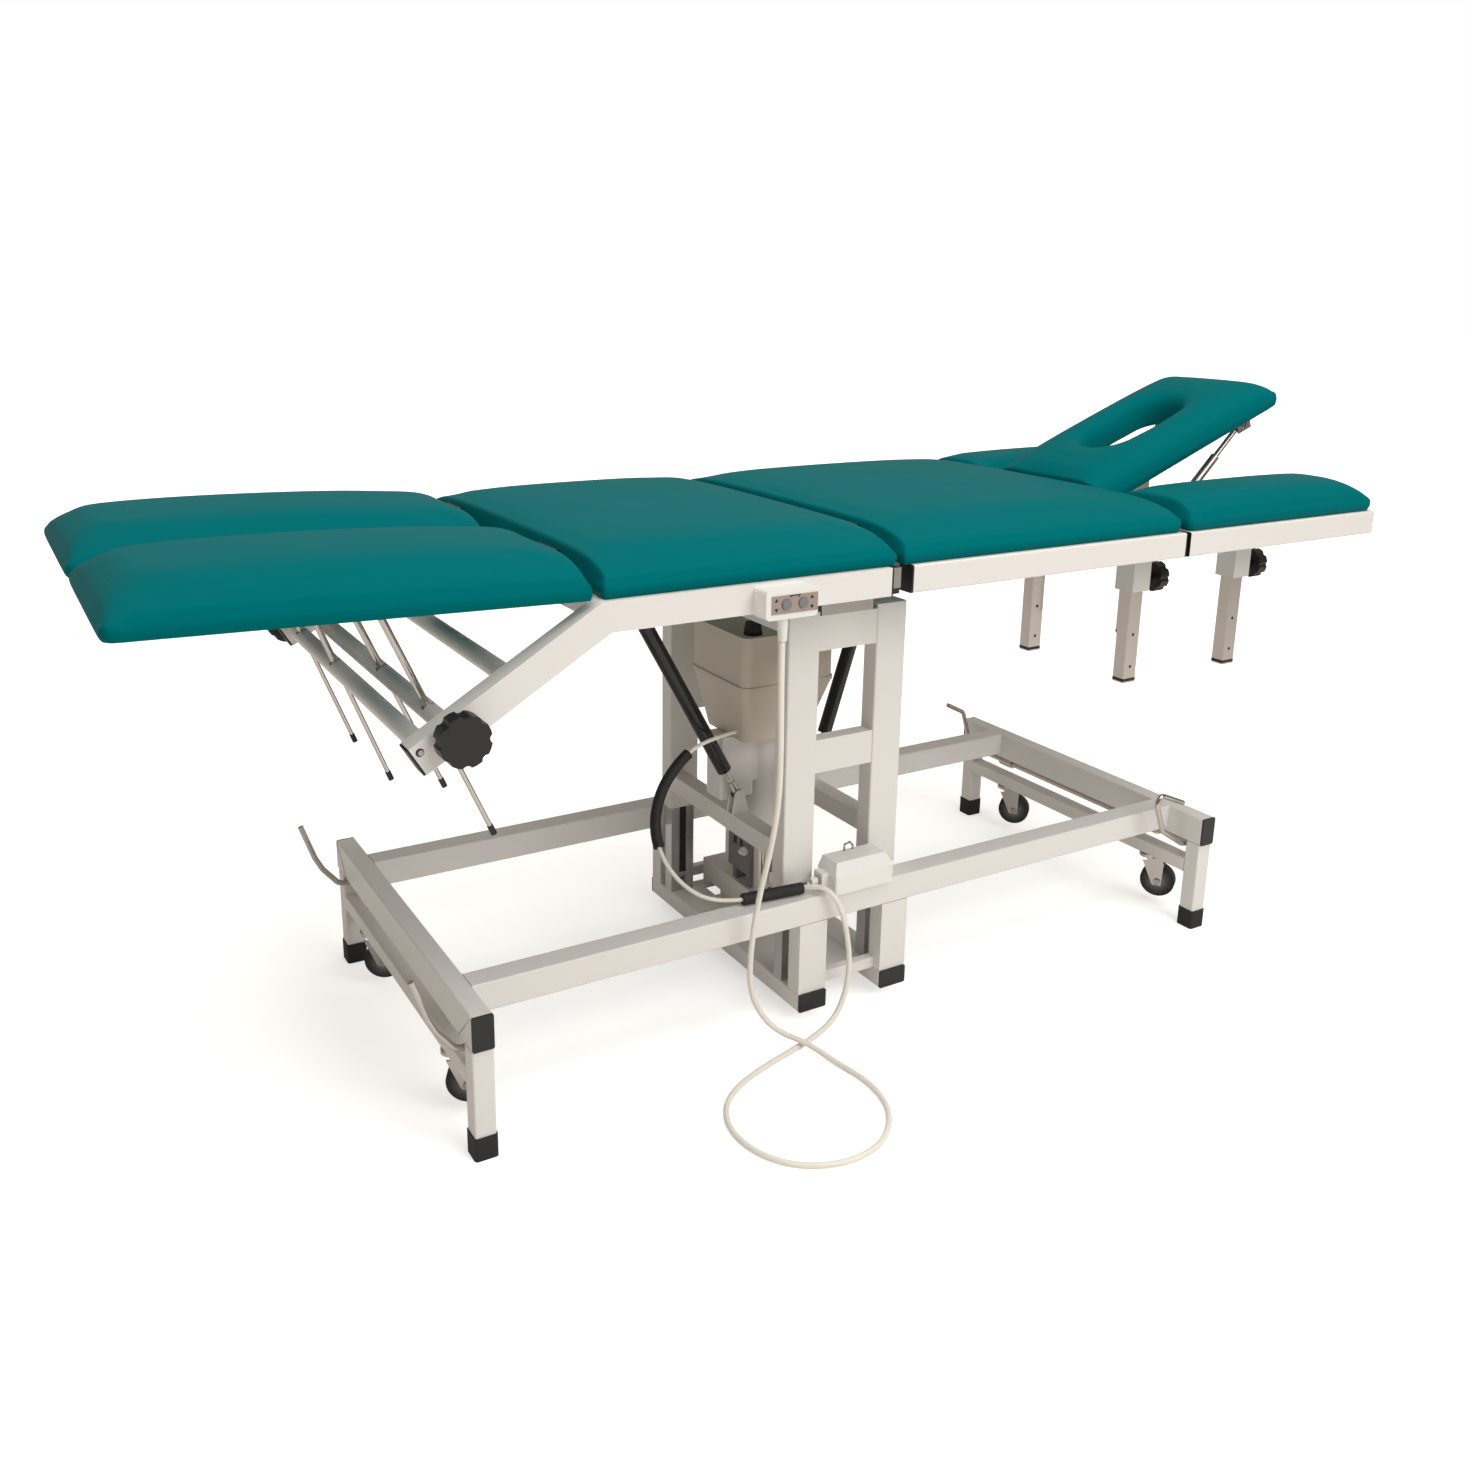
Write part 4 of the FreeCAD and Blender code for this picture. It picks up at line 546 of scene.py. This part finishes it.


# Hinge bars between the cushions are blackened in the seams as painted shade, so that the seams stay dark
for hinged in ("hinge_pedestals", "seat_frame", "back_frame", "leg_bracket_near", "leg_bracket_far",
               "head_bracket"):
    finish_faces(hinged, enamel, lambda c: c.z > 0.725 and min(
        abs(c.x - x) for x in (leg_hinge, seat_hinge, head_hinge)) < 0.0045)

# Guide profiles: black running strips on their outer faces, inlays and foot bolts
finish_faces("guide_rails", black_plastic,
             lambda c: c.x < -0.1004 or -0.0555 < c.x < -0.0537 or 0.0577 < c.x < 0.0595 or c.x > 0.1045)
inlays, foot_bolts = [], []
for x in (-0.078, 0.082):
    for side in (-1, 1):
        inlays.append(("box", (x - 0.006, side * 0.1702, 0.088), (x + 0.006, side * 0.1688, 0.300)))
        foot_bolts.append(("rod", (x, side * 0.1702, 0.068), (x, side * 0.1662, 0.068), 0.0055))
bits("guide_inlays", "base", black_plastic, inlays)
bits("guide_foot_bolts", "base", zinc, foot_bolts)

# Arm-rest posts are chromed below their bars and end in black inserts; each has two holes, drawn as flat
# black discs of painted shade
post_xs = (0.679, 0.944)
for side, word in ((-1, "near"), (1, "far")):
    arm_rest = "arm_rest_" + word
    post_y = side * 0.123
    finish_faces(arm_rest, chrome, lambda c: c.z < 0.7125 and abs(c.y) < 0.1362)
    finish_faces(arm_rest, black_plastic, lambda c: c.z < 0.4202 and abs(c.y) < 0.1362)
    finish_faces(arm_rest, black_plastic, lambda c: c.x < 0.5665 and c.z > 0.69)
    bits("post_hole_shade_" + word, arm_rest, black_plastic,
         [("rod", (x, post_y - 0.0120, z), (x, post_y - 0.0126, z), 0.003)
          for x in post_xs for z in (0.447, 0.507)])
    bits("post_caps_" + word, arm_rest, black_plastic,
         [("box", (x - 0.0153, post_y - 0.0128, 0.4196), (x + 0.0153, post_y + 0.0128, 0.4250))
          for x in post_xs])

# Leg struts end in black tips
finish_faces("leg_struts_near", black_plastic, lambda c: c.z < 0.4502)
finish_faces("leg_struts_far", black_plastic, lambda c: c.z < 0.4285)

# Gas springs: black eye at the rod's foot
for word, x in (("seat", -0.092), ("back", 0.108)):
    finish_faces(word + "_spring_rod", black_plastic,
                 lambda c, x=x: math.hypot(c.x - x, c.z - 0.312) < 0.0125)

# Castors: pale grey hub inside the black tyre, bolt heads on the forks; each fork stands at its own angle
turns = {("foot", -1): -27, ("foot", 1): -27, ("head", -1): -57, ("head", 1): -50}
for (end, side), angle in turns.items():
    where = end + ("_near" if side < 0 else "_far")
    stem_x = sum(corner.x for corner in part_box("castor_bar_" + end)) / 2
    a = math.radians(angle)
    hub = Vector((stem_x + 0.020 * math.cos(a), side * 0.195 + 0.020 * math.sin(a), 0.050))
    across = Vector((-math.sin(a), math.cos(a), 0))

    def on_hub(c, hub=hub, across=across):
        arm = c - hub
        return (arm - across * arm.dot(across)).length < 0.0215 and abs(arm.dot(across)) > 0.0095

    finish_faces("castor_wheel_" + where, grey, on_hub)
    bolts = [("rod", hub + across * s * 0.0155, hub + across * s * 0.0195, 0.0062, 0.0055) for s in (-1, 1)]
    bits("axle_bolts_" + where, "castor_fork_" + where, zinc, bolts)

# Control unit: dark socket inserts, one light round plug
bits("unit_sockets", "base", black_plastic,
     [("box", (-0.0215, y, 0.166), (-0.0185, y + 0.010, 0.178)) for y in (0.076, 0.056)])
bits("unit_plug", "base", pale, [("rod", (-0.022, 0.043, 0.166), (-0.031, 0.043, 0.166), 0.0085, 0.0072),
                                 ("rod", (-0.031, 0.043, 0.166), (-0.036, 0.043, 0.166), 0.004)])

# Junction box: hanging hook on its top edge, one screw, ring on the round plug
hook = [(0.002, -0.207, 0.256), (0.002, -0.207, 0.268), (0.012, -0.207, 0.271), (0.018, -0.207, 0.264),
        (0.018, -0.207, 0.256)]
bits("box_hook", "base", zinc, [("rod", a, b, 0.0016) for a, b in zip(hook, hook[1:])])
bits("box_screw", "base", black_plastic,
     [("rod", (0.004, -0.2455, 0.2430), (0.004, -0.2462, 0.2440), 0.0018)])
bits("plug_ring", "base", zinc, [("rod", (-0.060, -0.222, 0.228), (-0.056, -0.222, 0.228), 0.0072)])

# Seat frame: screw hole near the arm end, a flat black disc of painted shade around its pin; grey plate and
# black foot beside the back frame
bits("arm_hole_shade", "seat", black_plastic,
     [("rod", (-0.7077, -0.3388, 0.5838), (-0.7077, -0.3393, 0.5838), 0.0052)])
bits("arm_pin", "seat", zinc,
     [("rod", (-0.7066, -0.3386, 0.5832), (-0.7066, -0.3396, 0.5832), 0.0034)])
for word, side in (("near", -1), ("far", 1)):
    y0, y1 = sorted((side * 0.333, side * 0.309))
    bits("seat_end_plate_" + word, "seat", zinc, [("box", (-0.029, y0, 0.706), (-0.012, y1, 0.735))])
    bits("seat_end_foot_" + word, "seat", black_plastic, [("box", (-0.029, y0, 0.698), (-0.014, y1, 0.706))])

# Rubber stop on the motor cover
bits("motor_stop", "carriage", black_rubber,
     [("rod", (-0.082, -0.060, 0.584), (-0.082, -0.060, 0.603), 0.015, 0.012)])

# Hand switch: taupe front, generic up and down arrows, a plain couch outline between them
taupe, tree, shader = new_material("taupe front foil", Base_Color=linear("#9C8F84"), Roughness=0.35)
grain(tree, shader, 0.9, 0.02)
finish_faces("hand_switch", taupe, lambda c: c.y < -0.3711)
bm = bmesh.new()
front = -0.37245


def mark(points):
    bm.faces.new([bm.verts.new((x, front, z)) for x, z in points])


for x in (-0.2425, -0.1875):
    for z, up in ((0.7205, 1), (0.7075, -1)):
        mark([(x - 0.0028, z - 0.002 * up), (x + 0.0028, z - 0.002 * up), (x, z + 0.0028 * up)])
mark([(-0.2225, 0.7245), (-0.2055, 0.7245), (-0.2055, 0.7258), (-0.2225, 0.7258)])
for x in (-0.2205, -0.2085):
    mark([(x, 0.7225), (x + 0.0012, 0.7225), (x + 0.0012, 0.7245), (x, 0.7245)])
arrows = new_piece("switch_marks", bm, "seat", black_plastic, smooth=False)
arrows.modifiers.new("ink", "SOLIDIFY").thickness = 0.0002

# Weld lines where the end beams meet the legs
bits("weld_lines", "base", zinc,
     [("rod", (x, side * 0.2668, 0.1612), (x, side * 0.3140, 0.2085), 0.0007)
      for x in (-0.652, 0.726) for side in (-1, 1)])


# Camera, solved from the straight edges of the photograph
yaw, pitch, roll_angle = math.radians(30.436), math.radians(15.179), math.radians(0.709)
forward = Vector((math.sin(yaw) * math.cos(pitch), math.cos(yaw) * math.cos(pitch), -math.sin(pitch)))
flat_right = Vector((math.cos(yaw), -math.sin(yaw), 0))
flat_up = flat_right.cross(forward)
right = math.cos(roll_angle) * flat_right + math.sin(roll_angle) * flat_up
up = -math.sin(roll_angle) * flat_right + math.cos(roll_angle) * flat_up
lens = bpy.data.cameras.new("camera")
lens.sensor_width = 36
lens.lens = 32.84
lens.shift_x = 0.0121
lens.shift_y = -0.0629
lens.clip_end = 60
camera = bpy.data.objects.new("camera", lens)
turn = Matrix((right, up, -forward)).transposed().to_4x4()
camera.matrix_world = Matrix.Translation((-1.1545, -1.7758, 1.1174)) @ turn
scene.collection.objects.link(camera)
scene.camera = camera


# Studio: pale floor, white backdrop, soft boxes
def soft_box(name, place, aim, size, watts, tint):
    lamp = bpy.data.lights.new(name, "AREA")
    lamp.shape = "RECTANGLE"
    lamp.size, lamp.size_y = size
    lamp.energy = watts
    lamp.color = tint
    holder = bpy.data.objects.new(name, lamp)
    holder.location = place
    holder.rotation_euler = (Vector(aim) - Vector(place)).to_track_quat("-Z", "Y").to_euler()
    scene.collection.objects.link(holder)


soft_box("top box", (-0.2, -0.5, 3.2), (0, 0, 0.4), (4.5, 3.0), 80, (1.0, 1.0, 0.99))
soft_box("key box", (0.7, -3.4, 2.6), (0, 0, 0.4), (2.6, 1.8), 66, (1.0, 0.997, 0.99))

bm = bmesh.new()
bmesh.ops.create_grid(bm, x_segments=1, y_segments=1, size=30)
floor_finish, tree, shader = new_material("studio floor", Base_Color=linear("#FBFAF8"), Roughness=0.9)
seen = add_node(tree, "ShaderNodeLightPath")
place = add_node(tree, "ShaderNodeTexCoord").outputs["Object"]
away = add_node(tree, "ShaderNodeVectorMath", {0: place}, operation="LENGTH").outputs["Value"]
fade = add_node(tree, "ShaderNodeMapRange", {"Value": away, "From Min": 1.0, "From Max": 5.0, "To Min": 0.5,
                                             "To Max": 1.2})
lift = add_node(tree, "ShaderNodeMath", {0: seen.outputs["Is Camera Ray"], 1: fade.outputs["Result"]},
                operation="MULTIPLY")
tree.links.new(lift.outputs["Value"], shader.inputs["Emission Strength"])
shader.inputs["Emission Color"].default_value = (1, 1, 1, 1)
floor = new_piece("floor", bm, None, floor_finish, smooth=False)

world = bpy.data.worlds.new("studio")
scene.world = world
world.use_nodes = True
tree = world.node_tree
tree.nodes.clear()
seen = add_node(tree, "ShaderNodeLightPath")
room = add_node(tree, "ShaderNodeBackground", {"Color": linear("#C4B8AD"), "Strength": 0.6})
backdrop = add_node(tree, "ShaderNodeBackground", {"Color": (1, 1, 1, 1), "Strength": 1.0})
mixed = add_node(tree, "ShaderNodeMixShader", {"Fac": seen.outputs["Is Camera Ray"], 1: room.outputs[0],
                                               2: backdrop.outputs[0]})
add_node(tree, "ShaderNodeOutputWorld", {"Surface": mixed.outputs[0]})
scene.view_settings.view_transform = "Standard"
